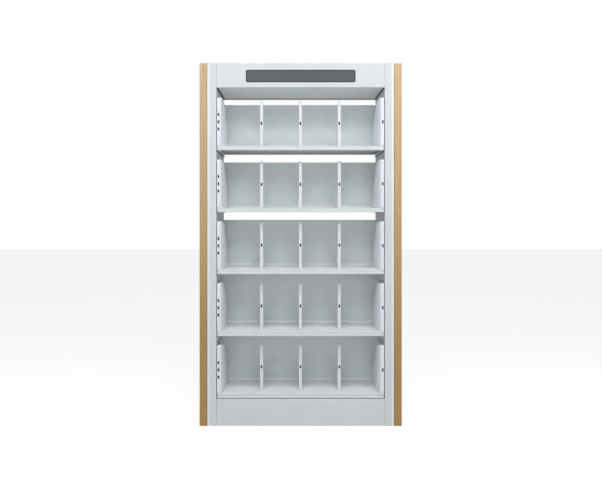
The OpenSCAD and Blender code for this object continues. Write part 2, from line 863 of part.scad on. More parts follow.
module sensor_windows() {
    color("#2B2D45") for (tier = [1:shelf_count]) translate([0, 0, shelf_z(tier)]) {
        for (n = [1:divider_count]) sensor_window(divider_x(n), divider_y, window_z, window_proud);
        for (s = [-1, 1]) on_side(s)
            for (z = side_windows(s)) sensor_window(side_window_x, side_y, z, window_proud);
    }
}

// One board inside each divider and each side antenna
module antenna_boards() {
    color("#2F6B4F") for (tier = [1:shelf_count]) translate([0, 0, shelf_z(tier)]) {
        for (n = [1:divider_count])
            along_x(divider_x(n) - board_t / 2, divider_x(n) + board_t / 2)
                board_outline(divider_corners);
        for (s = [-1, 1]) on_side(s)
            along_x(side_board_x, side_board_x + board_t) board_outline(side_corners);
    }
}

// ---- The object ----

end_panel(-1);  // end_panel_left
end_panel(1);  // end_panel_right
upright(-1);  // upright_left
upright(1);  // upright_right
top_cover();
header_pan();
header_flap();
display_window();
display_board();
hinge_pins();
plinth_flap();
base_pan();
power_supply();
power_inlet();
rfid_reader();
wire_loom();
for (n = [1:4]) foot(n);
cheeks(-1);  // cheeks_left
cheeks(1);  // cheeks_right
antenna_boards();
sensor_windows();
panel_bolts();
for (t = [1:shelf_count]) {
    shelf(t);
    back_panel(t);
    side_antenna(-1, t);
    side_antenna(1, t);
    for (n = [1:divider_count])
        divider(t, n);
}
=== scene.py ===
"""Looks of a library return shelf: a steel bay with five tiers of reading dividers.

Each sub-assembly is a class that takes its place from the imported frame, builds its meshes with
bmesh and hands them to a workshop, which gives them a finish and fixes them to a body.
Lengths are in metres; sizes that a maker would give in millimetres are written as N * MM.
"""

import logging
import math
from dataclasses import dataclass
from enum import Enum
from typing import Iterable, Sequence

import bmesh
import bpy
from mathutils import Matrix, Vector


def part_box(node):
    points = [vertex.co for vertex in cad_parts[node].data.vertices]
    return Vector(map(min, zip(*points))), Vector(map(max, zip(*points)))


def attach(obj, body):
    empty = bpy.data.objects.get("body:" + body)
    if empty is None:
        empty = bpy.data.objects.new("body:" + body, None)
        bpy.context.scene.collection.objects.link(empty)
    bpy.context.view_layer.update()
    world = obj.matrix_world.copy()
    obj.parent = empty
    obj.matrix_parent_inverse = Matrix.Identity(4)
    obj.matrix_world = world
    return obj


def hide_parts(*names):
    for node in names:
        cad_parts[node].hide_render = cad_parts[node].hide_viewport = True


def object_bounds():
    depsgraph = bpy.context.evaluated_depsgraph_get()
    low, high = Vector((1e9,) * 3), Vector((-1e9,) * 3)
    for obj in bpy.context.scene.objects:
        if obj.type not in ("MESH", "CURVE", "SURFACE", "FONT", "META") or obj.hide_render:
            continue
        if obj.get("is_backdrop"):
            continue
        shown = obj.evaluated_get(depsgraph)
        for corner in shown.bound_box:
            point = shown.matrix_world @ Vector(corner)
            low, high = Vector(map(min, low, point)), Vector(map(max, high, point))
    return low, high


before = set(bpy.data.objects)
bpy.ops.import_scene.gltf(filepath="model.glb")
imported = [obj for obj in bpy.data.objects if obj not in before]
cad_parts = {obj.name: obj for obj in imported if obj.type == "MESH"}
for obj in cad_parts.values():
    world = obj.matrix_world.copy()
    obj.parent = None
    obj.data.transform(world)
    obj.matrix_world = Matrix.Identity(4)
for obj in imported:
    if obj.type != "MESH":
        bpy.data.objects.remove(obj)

logging.basicConfig(level=logging.INFO, format="%(levelname)s %(message)s")
log = logging.getLogger("return_shelf")

MM = 0.001
TIERS = range(1, 6)
DIVIDERS = range(1, 4)
ROOT = "root"
Point = tuple[float, float]
Corner = Sequence[float]
Rgb = tuple[float, float, float]
Rgba = tuple[float, float, float, float]
BMesh = bmesh.types.BMesh
BMFace = bmesh.types.BMFace
Node = bpy.types.Node
Socket = bpy.types.NodeSocket
Sockets = bpy.types.bpy_prop_collection


def mm(x: float, y: float, z: float) -> Vector:
    """Returns a vector given in millimetres."""
    return Vector((x, y, z)) * MM


class Side(Enum):
    """The two ends of the bay."""

    LEFT = -1
    RIGHT = 1

    @property
    def word(self) -> str:
        """Returns the name that the nodes use for this side."""
        return self.name.lower()


# ---------------------------------------------------------------------------------------------
# Shader node groups


class NodeBench:
    """Adds nodes to one node tree and joins them."""

    def __init__(self, tree: bpy.types.NodeTree) -> None:
        """Keeps the tree that the nodes go into."""
        self.tree = tree
        self.column = 0

    def add(self, kind: str, inputs: dict | None = None, **settings: object) -> Node:
        """Adds a node.

        Args:
            kind: The node's type name without its "ShaderNode" prefix.
            inputs: Values or output sockets for the node's inputs, by name or number.
            **settings: Properties of the node itself.

        Returns:
            The new node.
        """
        node = self.tree.nodes.new("ShaderNode" + kind)
        self.column += 1
        node.location = (self.column * 180, 0)
        for name, value in settings.items():
            setattr(node, name, value)
        for name, value in (inputs or {}).items():
            self.feed(node.inputs[name], value)
        return node

    def feed(self, socket: Socket, value: Socket | float | Sequence[float]) -> None:
        """Joins an output to an input socket, or sets the socket's own value.

        Args:
            socket: The input socket.
            value: An output socket, a number or a colour.
        """
        if isinstance(value, Socket):
            self.tree.links.new(value, socket)
        else:
            socket.default_value = value

    def product(self, a: Socket | float, b: Socket | float) -> Socket:
        """Returns two values or sockets multiplied."""
        return self.maths("MULTIPLY", a, b)

    def axis(self, vector: Socket, number: int) -> Socket:
        """Returns one component of a vector: 0, 1 or 2."""
        return self.add("SeparateXYZ", {0: vector}).outputs[number]

    def maths(
        self, operation: str, a: Socket | float, b: Socket | float = 0.0, clamp: bool = False
    ) -> Socket:
        """Returns the result of a Math node on two values or sockets."""
        node = self.add("Math", {0: a, 1: b}, operation=operation, use_clamp=clamp)
        return node.outputs[0]

    def mix(self, factor: Socket | float, a: Socket | Rgba, b: Socket | Rgba) -> Socket:
        """Returns two colours mixed by a factor."""
        return self.add("Mix", {0: factor, 6: a, 7: b}, data_type="RGBA").outputs[2]

    def remap(
        self, value: Socket, low: float, high: float, to_low: float = 0.0, to_high: float = 1.0
    ) -> Socket:
        """Returns a value moved from one range to another, held within it."""
        node = self.add("MapRange", {0: value, 1: low, 2: high, 3: to_low, 4: to_high}, clamp=True)
        return node.outputs[0]

    def noise(
        self, vector: Socket, scale: Socket | float, detail: float = 2.0, roughness: float = 0.5
    ) -> Socket:
        """Returns the value of a noise texture.

        Args:
            vector: Coordinates.
            scale: The texture's scale.
            detail: Number of octaves.
            roughness: Share of each octave.

        Returns:
            The noise's value.
        """
        node = self.add(
            "TexNoise", {"Vector": vector, "Scale": scale, "Detail": detail, "Roughness": roughness}
        )
        return node.outputs[0]

    def stretch(self, vector: Socket, scale: Sequence[float]) -> Socket:
        """Returns coordinates scaled along each axis."""
        return self.add("Mapping", {"Vector": vector, "Scale": scale}).outputs[0]


class NodeGroup:
    """A shader node group with named sockets, built once and used by many finishes."""

    name = "group"
    ins: dict[str, tuple[str, object]] = {}
    outs: dict[str, str] = {}

    @classmethod
    def tree(cls) -> bpy.types.NodeTree:
        """Returns the group's tree, made on first use.

        Returns:
            The tree.
        """
        found = bpy.data.node_groups.get(cls.name)
        if found:
            return found
        tree = bpy.data.node_groups.new(cls.name, "ShaderNodeTree")
        for name, (kind, value) in cls.ins.items():
            socket = tree.interface.new_socket(name, in_out="INPUT", socket_type=kind)
            socket.default_value = value
        for name, kind in cls.outs.items():
            tree.interface.new_socket(name, in_out="OUTPUT", socket_type=kind)
        source = tree.nodes.new("NodeGroupInput")
        sink = tree.nodes.new("NodeGroupOutput")
        bench = NodeBench(tree)
        coords = bench.add("TexCoord").outputs["Object"]
        for name, socket in cls.wire(bench, coords, source.outputs).items():
            tree.links.new(socket, sink.inputs[name])
        return tree

    @classmethod
    def wire(cls, bench: NodeBench, coords: Socket, inputs: Sockets) -> dict[str, Socket]:
        """Returns the group's outputs by name; each group gives its own."""
        raise NotImplementedError

    @classmethod
    def place(cls, bench: NodeBench, **values: Socket | float) -> Node:
        """Places the group in a material with its own values."""
        inputs = {name.replace("_", " "): value for name, value in values.items()}
        return bench.add("Group", inputs, node_tree=cls.tree())


FLOAT = "NodeSocketFloat"


class PaintPeel(NodeGroup):
    """Fine ripple of a baked powder coat, with slow changes of tone and gloss."""

    name = "paint peel"
    ins = {"Grain": (FLOAT, 900.0), "Cloud": (FLOAT, 5.0)}
    outs = {"Height": FLOAT, "Tone": FLOAT, "Gloss": FLOAT}

    @classmethod
    def wire(cls, bench: NodeBench, coords: Socket, inputs: Sockets) -> dict[str, Socket]:
        """Returns the ripple's height and two slow masks.

        Args:
            bench: The bench of the tree.
            coords: Object coordinates.
            inputs: The group's inputs by name.

        Returns:
            The outputs by name.
        """
        fine = bench.noise(coords, inputs["Grain"], 3.0, 0.6)
        cloud = bench.noise(coords, inputs["Cloud"], 4.0, 0.55)
        speck = bench.noise(coords, 260.0, 2.0)
        return {
            "Height": fine,
            "Tone": bench.remap(cloud, 0.3, 0.7),
            "Gloss": bench.remap(speck, 0.35, 0.65),
        }


class ScuffBand(NodeGroup):
    """Patchy marks within a band along one axis, such as where hands, books or shoes rub."""

    name = "scuff band"
    ins = {
        "Along": (FLOAT, 0.0),
        "Centre": (FLOAT, 0.0),
        "Reach": (FLOAT, 0.02),
        "Density": (FLOAT, 0.5),
    }
    outs = {"Mask": FLOAT}

    @classmethod
    def wire(cls, bench: NodeBench, coords: Socket, inputs: Sockets) -> dict[str, Socket]:
        """Returns the mask of the marks.

        Args:
            bench: The bench of the tree.
            coords: Object coordinates.
            inputs: The group's inputs by name.

        Returns:
            The outputs by name.
        """
        away = bench.maths("ABSOLUTE", bench.maths("SUBTRACT", inputs["Along"], inputs["Centre"]))
        near = bench.maths("SUBTRACT", 1.0, bench.maths("DIVIDE", away, inputs["Reach"]), clamp=True)
        streaks = bench.noise(bench.stretch(coords, (18.0, 60.0, 60.0)), 1.0, 5.0, 0.65)
        marks = bench.remap(streaks, 0.52, 0.72)
        return {"Mask": bench.product(bench.product(near, marks), inputs["Density"])}


class BeechGrain(NodeGroup):
    """Straight wood grain that runs along Z, with fine dark flecks."""

    name = "beech grain"
    ins = {"Ring Scale": (FLOAT, 60.0), "Fleck": (FLOAT, 0.5)}
    outs = {"Grain": FLOAT, "Flecks": FLOAT, "Drift": FLOAT}

    @classmethod
    def wire(cls, bench: NodeBench, coords: Socket, inputs: Sockets) -> dict[str, Socket]:
        """Returns the grain, fleck and slow drift masks.

        Args:
            bench: The bench of the tree.
            coords: Object coordinates.
            inputs: The group's inputs by name.

        Returns:
            The outputs by name.
        """
        long_grain = bench.stretch(coords, (1.0, 1.0, 0.045))
        sway = bench.noise(bench.stretch(coords, (2.0, 2.0, 1.1)), 1.0)
        shift = bench.add("CombineXYZ", {0: bench.product(sway, 0.05), 1: bench.product(sway, 0.03)})
        bent = bench.add("VectorMath", {0: long_grain, 1: shift.outputs[0]}, operation="ADD")
        rings = bench.noise(bent.outputs[0], inputs["Ring Scale"], 6.0, 0.62)
        pores = bench.noise(bench.stretch(coords, (900.0, 900.0, 28.0)), 1.0)
        flecks = bench.product(bench.remap(pores, 0.56, 0.72), inputs["Fleck"])
        drift = bench.noise(bench.stretch(coords, (3.0, 3.0, 0.9)), 1.0, 3.0)
        grain = bench.remap(rings, 0.32, 0.68)
        return {"Grain": grain, "Flecks": flecks, "Drift": bench.remap(drift, 0.3, 0.7)}


class MouldTexture(NodeGroup):
    """Fine spark texture of a moulded plastic, with faint flow marks."""

    name = "mould texture"
    ins = {"Spark": (FLOAT, 1700.0), "Flow": (FLOAT, 9.0)}
    outs = {"Height": FLOAT, "Flow": FLOAT}

    @classmethod
    def wire(cls, bench: NodeBench, coords: Socket, inputs: Sockets) -> dict[str, Socket]:
        """Returns the texture's height and the flow mask.

        Args:
            bench: The bench of the tree.
            coords: Object coordinates.
            inputs: The group's inputs by name.

        Returns:
            The outputs by name.
        """
        spark = bench.add(
            "TexVoronoi", {"Vector": coords, "Scale": inputs["Spark"], "Randomness": 1.0}
        ).outputs["Distance"]
        flow = bench.noise(bench.stretch(coords, (1.0, 1.0, 0.35)), inputs["Flow"], 3.0)
        return {"Height": spark, "Flow": bench.remap(flow, 0.32, 0.68)}


class DustFall(NodeGroup):
    """Dust that settles on faces that look up."""

    name = "dust fall"
    ins = {"Amount": (FLOAT, 0.2)}
    outs = {"Mask": FLOAT}

    @classmethod
    def wire(cls, bench: NodeBench, coords: Socket, inputs: Sockets) -> dict[str, Socket]:
        """Returns the mask of the dust.

        Args:
            bench: The bench of the tree.
            coords: Object coordinates.
            inputs: The group's inputs by name.

        Returns:
            The outputs by name.
        """
        up = bench.remap(bench.axis(bench.add("NewGeometry").outputs["Normal"], 2), 0.6, 1.0)
        patch = bench.remap(bench.noise(coords, 24.0, 4.0, 0.6), 0.35, 0.75)
        return {"Mask": bench.product(bench.product(up, patch), inputs["Amount"])}


class DotGrid(NodeGroup):
    """Square grid of round dots in the X-Z plane, such as the lights of a matrix display."""

    name = "dot grid"
    ins = {"Pitch": (FLOAT, 4 * MM), "Radius": (FLOAT, 0.32)}
    outs = {"Dots": FLOAT}

    @classmethod
    def wire(cls, bench: NodeBench, coords: Socket, inputs: Sockets) -> dict[str, Socket]:
        """Returns 1 on a dot and 0 between the dots.

        Args:
            bench: The bench of the tree.
            coords: Object coordinates.
            inputs: The group's inputs by name.

        Returns:
            The outputs by name.
        """
        squares = []
        for axis in (0, 2):
            cell = bench.maths("FRACT", bench.maths("DIVIDE", bench.axis(coords, axis), inputs["Pitch"]))
            centred = bench.maths("SUBTRACT", cell, 0.5)
            squares.append(bench.product(centred, centred))
        distance = bench.maths("SQRT", bench.maths("ADD", *squares))
        return {"Dots": bench.maths("LESS_THAN", distance, inputs["Radius"])}


# ---------------------------------------------------------------------------------------------
# Finishes


@dataclass(frozen=True)
class Finish:
    """A surface finish. Each kind paints its own nodes.

    Attributes:
        name: Name of the material.
        color: Main colour, linear.
        roughness: Middle roughness.
    """

    name: str
    color: Rgb
    roughness: float = 0.5

    @property
    def rgba(self) -> Rgba:
        """Returns the colour with full alpha."""
        return (*self.color, 1.0)

    def shade(self, amount: float) -> Rgba:
        """Returns the colour made lighter or darker by a factor."""
        return (*(min(1.0, c * amount) for c in self.color), 1.0)

    def material(self) -> bpy.types.Material:
        """Returns the material, made on first use.

        Returns:
            The material.
        """
        found = bpy.data.materials.get(self.name)
        if found:
            return found
        made = bpy.data.materials.new(self.name)
        made.use_nodes = True
        made.diffuse_color = self.rgba
        shader = made.node_tree.nodes["Principled BSDF"]
        bench = NodeBench(made.node_tree)
        coords = bench.add("TexCoord").outputs["Object"]
        self.paint(bench, coords, shader)
        return made

    def paint(self, bench: NodeBench, coords: Socket, shader: Node) -> None:
        """Wires the finish into the shader; each kind gives its own."""
        raise NotImplementedError

    @staticmethod
    def coat(
        bench: NodeBench,
        shader: Node,
        tone: Socket,
        rough: Socket,
        relief: tuple[Socket, float, float] | None = None,
    ) -> None:
        """Feeds the shader.

        Args:
            bench: The material's bench.
            shader: Its shader.
            tone: The colour.
            rough: The roughness.
            relief: A height with its strength and its depth, or None on a smooth surface.
        """
        bench.feed(shader.inputs["Base Color"], tone)
        bench.feed(shader.inputs["Roughness"], rough)
        if relief:
            height, strength, depth = relief
            node = bench.add("Bump", {"Strength": strength, "Distance": depth, "Height": height})
            bench.feed(shader.inputs["Normal"], node.outputs[0])

    def gloss_range(self, bench: NodeBench, mask: Socket, low: float, high: float) -> Socket:
        """Returns a roughness that runs from low to high beside the middle one, by a mask."""
        return bench.remap(mask, 0.0, 1.0, self.roughness + low, self.roughness + high)

    @staticmethod
    def lacquer(shader: Node, weight: float, roughness: float) -> None:
        """Sets a clear coat that is the same all over."""
        shader.inputs["Coat Weight"].default_value = weight
        shader.inputs["Coat Roughness"].default_value = roughness


@dataclass(frozen=True)
class PowderCoat(Finish):
    """Baked powder coat on steel.

    Attributes:
        wear: How strongly marks show.
        wear_axis: 0, 1 or 2: the axis along which the worn band is placed.
        wear_at: Middle of the worn band on that axis.
        wear_reach: Half width of the band.
        dust: How much dust lies on upward faces.
    """

    wear: float = 0.25
    wear_axis: int = 2
    wear_at: float = 0.0
    wear_reach: float = 0.12
    dust: float = 0.12

    def paint(self, bench: NodeBench, coords: Socket, shader: Node) -> None:
        """Wires ripple, tone, scuffs and dust.

        Args:
            bench: The bench of the tree.
            coords: Object coordinates.
            shader: The material's shader.
        """
        peel = PaintPeel.place(bench)
        along = bench.axis(coords, self.wear_axis)
        scuff = ScuffBand.place(
            bench, Along=along, Centre=self.wear_at, Reach=self.wear_reach, Density=self.wear
        )
        dust = DustFall.place(bench, Amount=self.dust)
        base = bench.mix(peel.outputs["Tone"], self.shade(0.975), self.shade(1.02))
        marked = bench.mix(scuff.outputs[0], base, self.shade(0.72))
        dusty = bench.mix(dust.outputs[0], marked, (0.52, 0.50, 0.46, 1.0))
        gloss = self.gloss_range(bench, peel.outputs["Gloss"], -0.05, 0.06)
        rough = bench.maths("ADD", gloss, bench.product(dust.outputs[0], 0.9), clamp=True)
        self.coat(bench, shader, dusty, rough, (peel.outputs["Height"], 0.22, 0.12 * MM))
        self.lacquer(shader, 0.12, 0.28)


@dataclass(frozen=True)
class WoodLaminate(Finish):
    """Beech laminate on board, with a painted shade that darkens it towards the floor.

    Attributes:
        height: Height of the panel, at which the painted shade ends and the tone is palest.
        start: Height from which the painted shade thins upwards and the tone grows paler.
        floor_shade_tone: Painted shade at the floor, as a share of the tone at the top.
    """

    height: float = 1.96
    start: float = 0.45
    floor_shade_tone: Rgb = (0.63, 0.51, 0.27)

    def paint(self, bench: NodeBench, coords: Socket, shader: Node) -> None:
        """Wires grain, flecks and the painted shade that darkens the tone towards the floor.

        Args:
            bench: The bench of the tree.
            coords: Object coordinates.
            shader: The material's shader.
        """
        grain = BeechGrain.place(bench)
        pale = bench.mix(grain.outputs["Grain"], self.shade(0.86), self.shade(1.07))
        drifted = bench.mix(grain.outputs["Drift"], pale, bench.mix(0.5, pale, self.shade(0.93)))
        # Painted shade: the tone darkens from the top down, fully from start down to the floor.
        low = bench.remap(bench.axis(coords, 2), self.start, self.height, 1.0, 0.0)
        foot = (*(c * t for c, t in zip(self.color, self.floor_shade_tone)), 1.0)
        floor_shaded = bench.mix(bench.maths("POWER", low, 1.2), drifted, bench.mix(0.88, drifted, foot))
        dark = bench.mix(grain.outputs["Flecks"], floor_shaded, (0.20, 0.10, 0.045, 1.0))
        rough = self.gloss_range(bench, grain.outputs["Grain"], 0.05, -0.04)
        self.coat(bench, shader, dark, rough, (grain.outputs["Grain"], 0.2, 0.15 * MM))


@dataclass(frozen=True)
class GlueAndShadeLine(Finish):
    """Dark line finish of a board's edge, printed with grain: its glue line, and painted shade on the
    inner strip of each band.
    """

    def paint(self, bench: NodeBench, coords: Socket, shader: Node) -> None:
        """Wires a faint printed grain.

        Args:
            bench: The bench of the tree.
            coords: Object coordinates; not used.
            shader: The material's shader.
        """
        grain = BeechGrain.place(bench, Ring_Scale=95.0, Fleck=0.2)
        tone = bench.mix(grain.outputs["Grain"], self.shade(0.85), self.shade(1.1))
        rough = self.gloss_range(bench, grain.outputs["Drift"], 0.0, 0.08)
        self.coat(bench, shader, tone, rough, (grain.outputs["Grain"], 0.1, 0.1 * MM))


@dataclass(frozen=True)
class MouldedPlastic(Finish):
    """Injection moulded plastic with a spark texture.

    Attributes:
        spark: Scale of the texture.
        depth: Depth of the texture.
        dust: How much dust lies on upward faces.
    """

    spark: float = 1700.0
    depth: float = 0.05 * MM
    dust: float = 0.06

    def paint(self, bench: NodeBench, coords: Socket, shader: Node) -> None:
        """Wires texture, flow marks and dust.

        Args:
            bench: The bench of the tree.
            coords: Object coordinates; not used.
            shader: The material's shader.
        """
        mould = MouldTexture.place(bench, Spark=self.spark)
        dust = DustFall.place(bench, Amount=self.dust)
        tone = bench.mix(mould.outputs["Flow"], self.shade(0.975), self.shade(1.015))
        dusty = bench.mix(dust.outputs[0], tone, (0.45, 0.44, 0.41, 1.0))
        rough = self.gloss_range(bench, mould.outputs["Flow"], 0.04, -0.04)
        self.coat(bench, shader, dusty, rough, (mould.outputs["Height"], 0.3, self.depth))


@dataclass(frozen=True)
class SmokedAcrylic(Finish):
    """Smoked acrylic in front of a dark matrix of lights, with faint finger marks.

    Attributes:
        dots: Tone of the dots as a share of the window's tone.
        pitch: Distance from dot to dot.
    """

    dots: float = 1.22
    pitch: float = 4 * MM

    def paint(self, bench: NodeBench, coords: Socket, shader: Node) -> None:
        """Wires the dots behind the window and the marks on it.

        Args:
            bench: The bench of the tree.
            coords: Object coordinates.
            shader: The material's shader.
        """
        grid = DotGrid.place(bench, Pitch=self.pitch, Radius=0.3)
        cloud = bench.remap(bench.noise(coords, 7.0, 4.0, 0.6), 0.35, 0.7)
        dots = bench.mix(grid.outputs[0], self.rgba, self.shade(self.dots))
        tone = bench.mix(cloud, dots, self.shade(1.12))
        smear = bench.remap(bench.noise(bench.stretch(coords, (30, 30, 70)), 1.0, 4.0), 0.45, 0.75)
        rough = bench.maths("ADD", self.roughness, bench.product(smear, 0.12))
        self.coat(bench, shader, tone, rough)
        self.lacquer(shader, 0.3, 0.06)


@dataclass(frozen=True)
class PlainGloss(Finish):
    """Smooth dark plastic, such as a lens or a gasket, with a slight haze."""

    def paint(self, bench: NodeBench, coords: Socket, shader: Node) -> None:
        """Wires the haze.

        Args:
            bench: The bench of the tree.
            coords: Object coordinates.
            shader: The material's shader.
        """
        haze = bench.remap(bench.noise(coords, 120.0, 3.0), 0.4, 0.7)
        rough = bench.maths("ADD", self.roughness, bench.product(haze, 0.1))
        self.coat(bench, shader, bench.mix(haze, self.rgba, self.shade(1.25)), rough)


@dataclass(frozen=True)
class PlatedSteel(Finish):
    """Zinc plated steel with drawn streaks.

    Attributes:
        stretch: Scale of the streaks along each axis.
    """

    stretch: tuple[float, float, float] = (40.0, 900.0, 900.0)

    def paint(self, bench: NodeBench, coords: Socket, shader: Node) -> None:
        """Wires streaks and blotches.

        Args:
            bench: The bench of the tree.
            coords: Object coordinates.
            shader: The material's shader.
        """
        streak = bench.noise(bench.stretch(coords, self.stretch), 1.0, 3.0)
        blotch = bench.remap(bench.noise(coords, 45.0, 4.0, 0.6), 0.35, 0.7)
        tone = bench.mix(blotch, self.rgba, self.shade(0.82))
        shader.inputs["Metallic"].default_value = 1.0
        rough = bench.remap(streak, 0.3, 0.7, self.roughness - 0.08, self.roughness + 0.1)
        self.coat(bench, shader, tone, rough, (streak, 0.15, 0.05 * MM))


@dataclass(frozen=True)
class CircuitBoard(Finish):
    """Solder mask over copper tracks."""

    def paint(self, bench: NodeBench, coords: Socket, shader: Node) -> None:
        """Wires the tracks as a brick pattern of thin lines.

        Args:
            bench: The bench of the tree.
            coords: Object coordinates.
            shader: The material's shader.
        """
        turned = bench.add("Mapping", {"Vector": coords, "Rotation": (math.pi / 2, 0, 0)}).outputs[0]
        tracks = bench.add(
            "TexBrick",
            {
                "Vector": turned, "Scale": 110.0, "Mortar Size": 0.035, "Brick Width": 1.7,
                "Row Height": 0.4,
            },
        ).outputs["Fac"]
        patches = bench.remap(bench.noise(coords, 90.0, 1.0), 0.48, 0.52)
        shown = bench.product(tracks, patches)
        tone = bench.mix(shown, self.rgba, self.shade(2.1))
        rough = bench.remap(shown, 0.0, 1.0, self.roughness, 0.3)
        self.coat(bench, shader, tone, rough, (shown, 0.3, 0.05 * MM))


@dataclass(frozen=True)
class Palette:
    """All the finishes of the object."""

    white_coat: PowderCoat = PowderCoat("white_powder_coat", (0.69, 0.735, 0.745), 0.42, wear=0.12)
    # Same white steel as white_coat, painted lighter: light on the shelf tops and a painted highlight on
    # the uprights' slanted strips; the scuffs along the front are real wear.
    lit_shelf_coat: PowderCoat = PowderCoat(
        "shelf_lit_powder_coat", (0.89, 0.935, 0.955), 0.40, 0.08, wear_axis=1, wear_at=-0.17,
        wear_reach=0.03, dust=0.04,
    )
    plinth_coat: PowderCoat = PowderCoat(
        "plinth_powder_coat", (0.69, 0.735, 0.745), 0.44, wear=0.35, wear_at=0.0, wear_reach=0.09
    )
    grey_coat: PowderCoat = PowderCoat("grey_powder_coat", (0.77, 0.82, 0.82), 0.5, wear=0.1)
    # Same steel painted darker as shade under the shelves and on the header's rear rail.
    shaded_under_coat: PowderCoat = PowderCoat("underside_shade_coat", (0.50, 0.52, 0.50), 0.55, wear=0.1, dust=0.0)
    # The laminate carries a painted shade that darkens it towards the floor.
    laminate: WoodLaminate = WoodLaminate("beech_laminate", (0.67, 0.475, 0.265), 0.42)
    # Dark line finish: the glue line in the groove, and painted shade on the inner strips of the bands.
    band: GlueAndShadeLine = GlueAndShadeLine("glue_and_shade_line", (0.36, 0.17, 0.055), 0.4)
    antenna_shell: MouldedPlastic = MouldedPlastic("antenna_shell", (0.84, 0.86, 0.92), 0.46)
    black_plastic: MouldedPlastic = MouldedPlastic(
        "black_plastic", (0.022, 0.023, 0.026), 0.45, spark=900.0
    )
    rubber: MouldedPlastic = MouldedPlastic(
        "foot_rubber", (0.03, 0.03, 0.03), 0.75, spark=600.0, depth=0.2 * MM
    )
    window: SmokedAcrylic = SmokedAcrylic("smoked_acrylic", (0.10, 0.114, 0.12), 0.16)
    window_edge: PlainGloss = PlainGloss("window_edge_print", (0.035, 0.04, 0.045), 0.2)
    lens: PlainGloss = PlainGloss("sensor_lens", (0.02, 0.02, 0.045), 0.15)
    zinc: PlatedSteel = PlatedSteel("zinc_plate", (0.66, 0.68, 0.70), 0.34)
    brass: PlatedSteel = PlatedSteel("gold_contact", (0.80, 0.58, 0.25), 0.25)
    board: CircuitBoard = CircuitBoard("circuit_board", (0.02, 0.11, 0.055), 0.45)
    signal_green: PlainGloss = PlainGloss("status_light", (0.08, 0.5, 0.15), 0.2)


PALETTE = Palette()


# ---------------------------------------------------------------------------------------------
# Mesh work


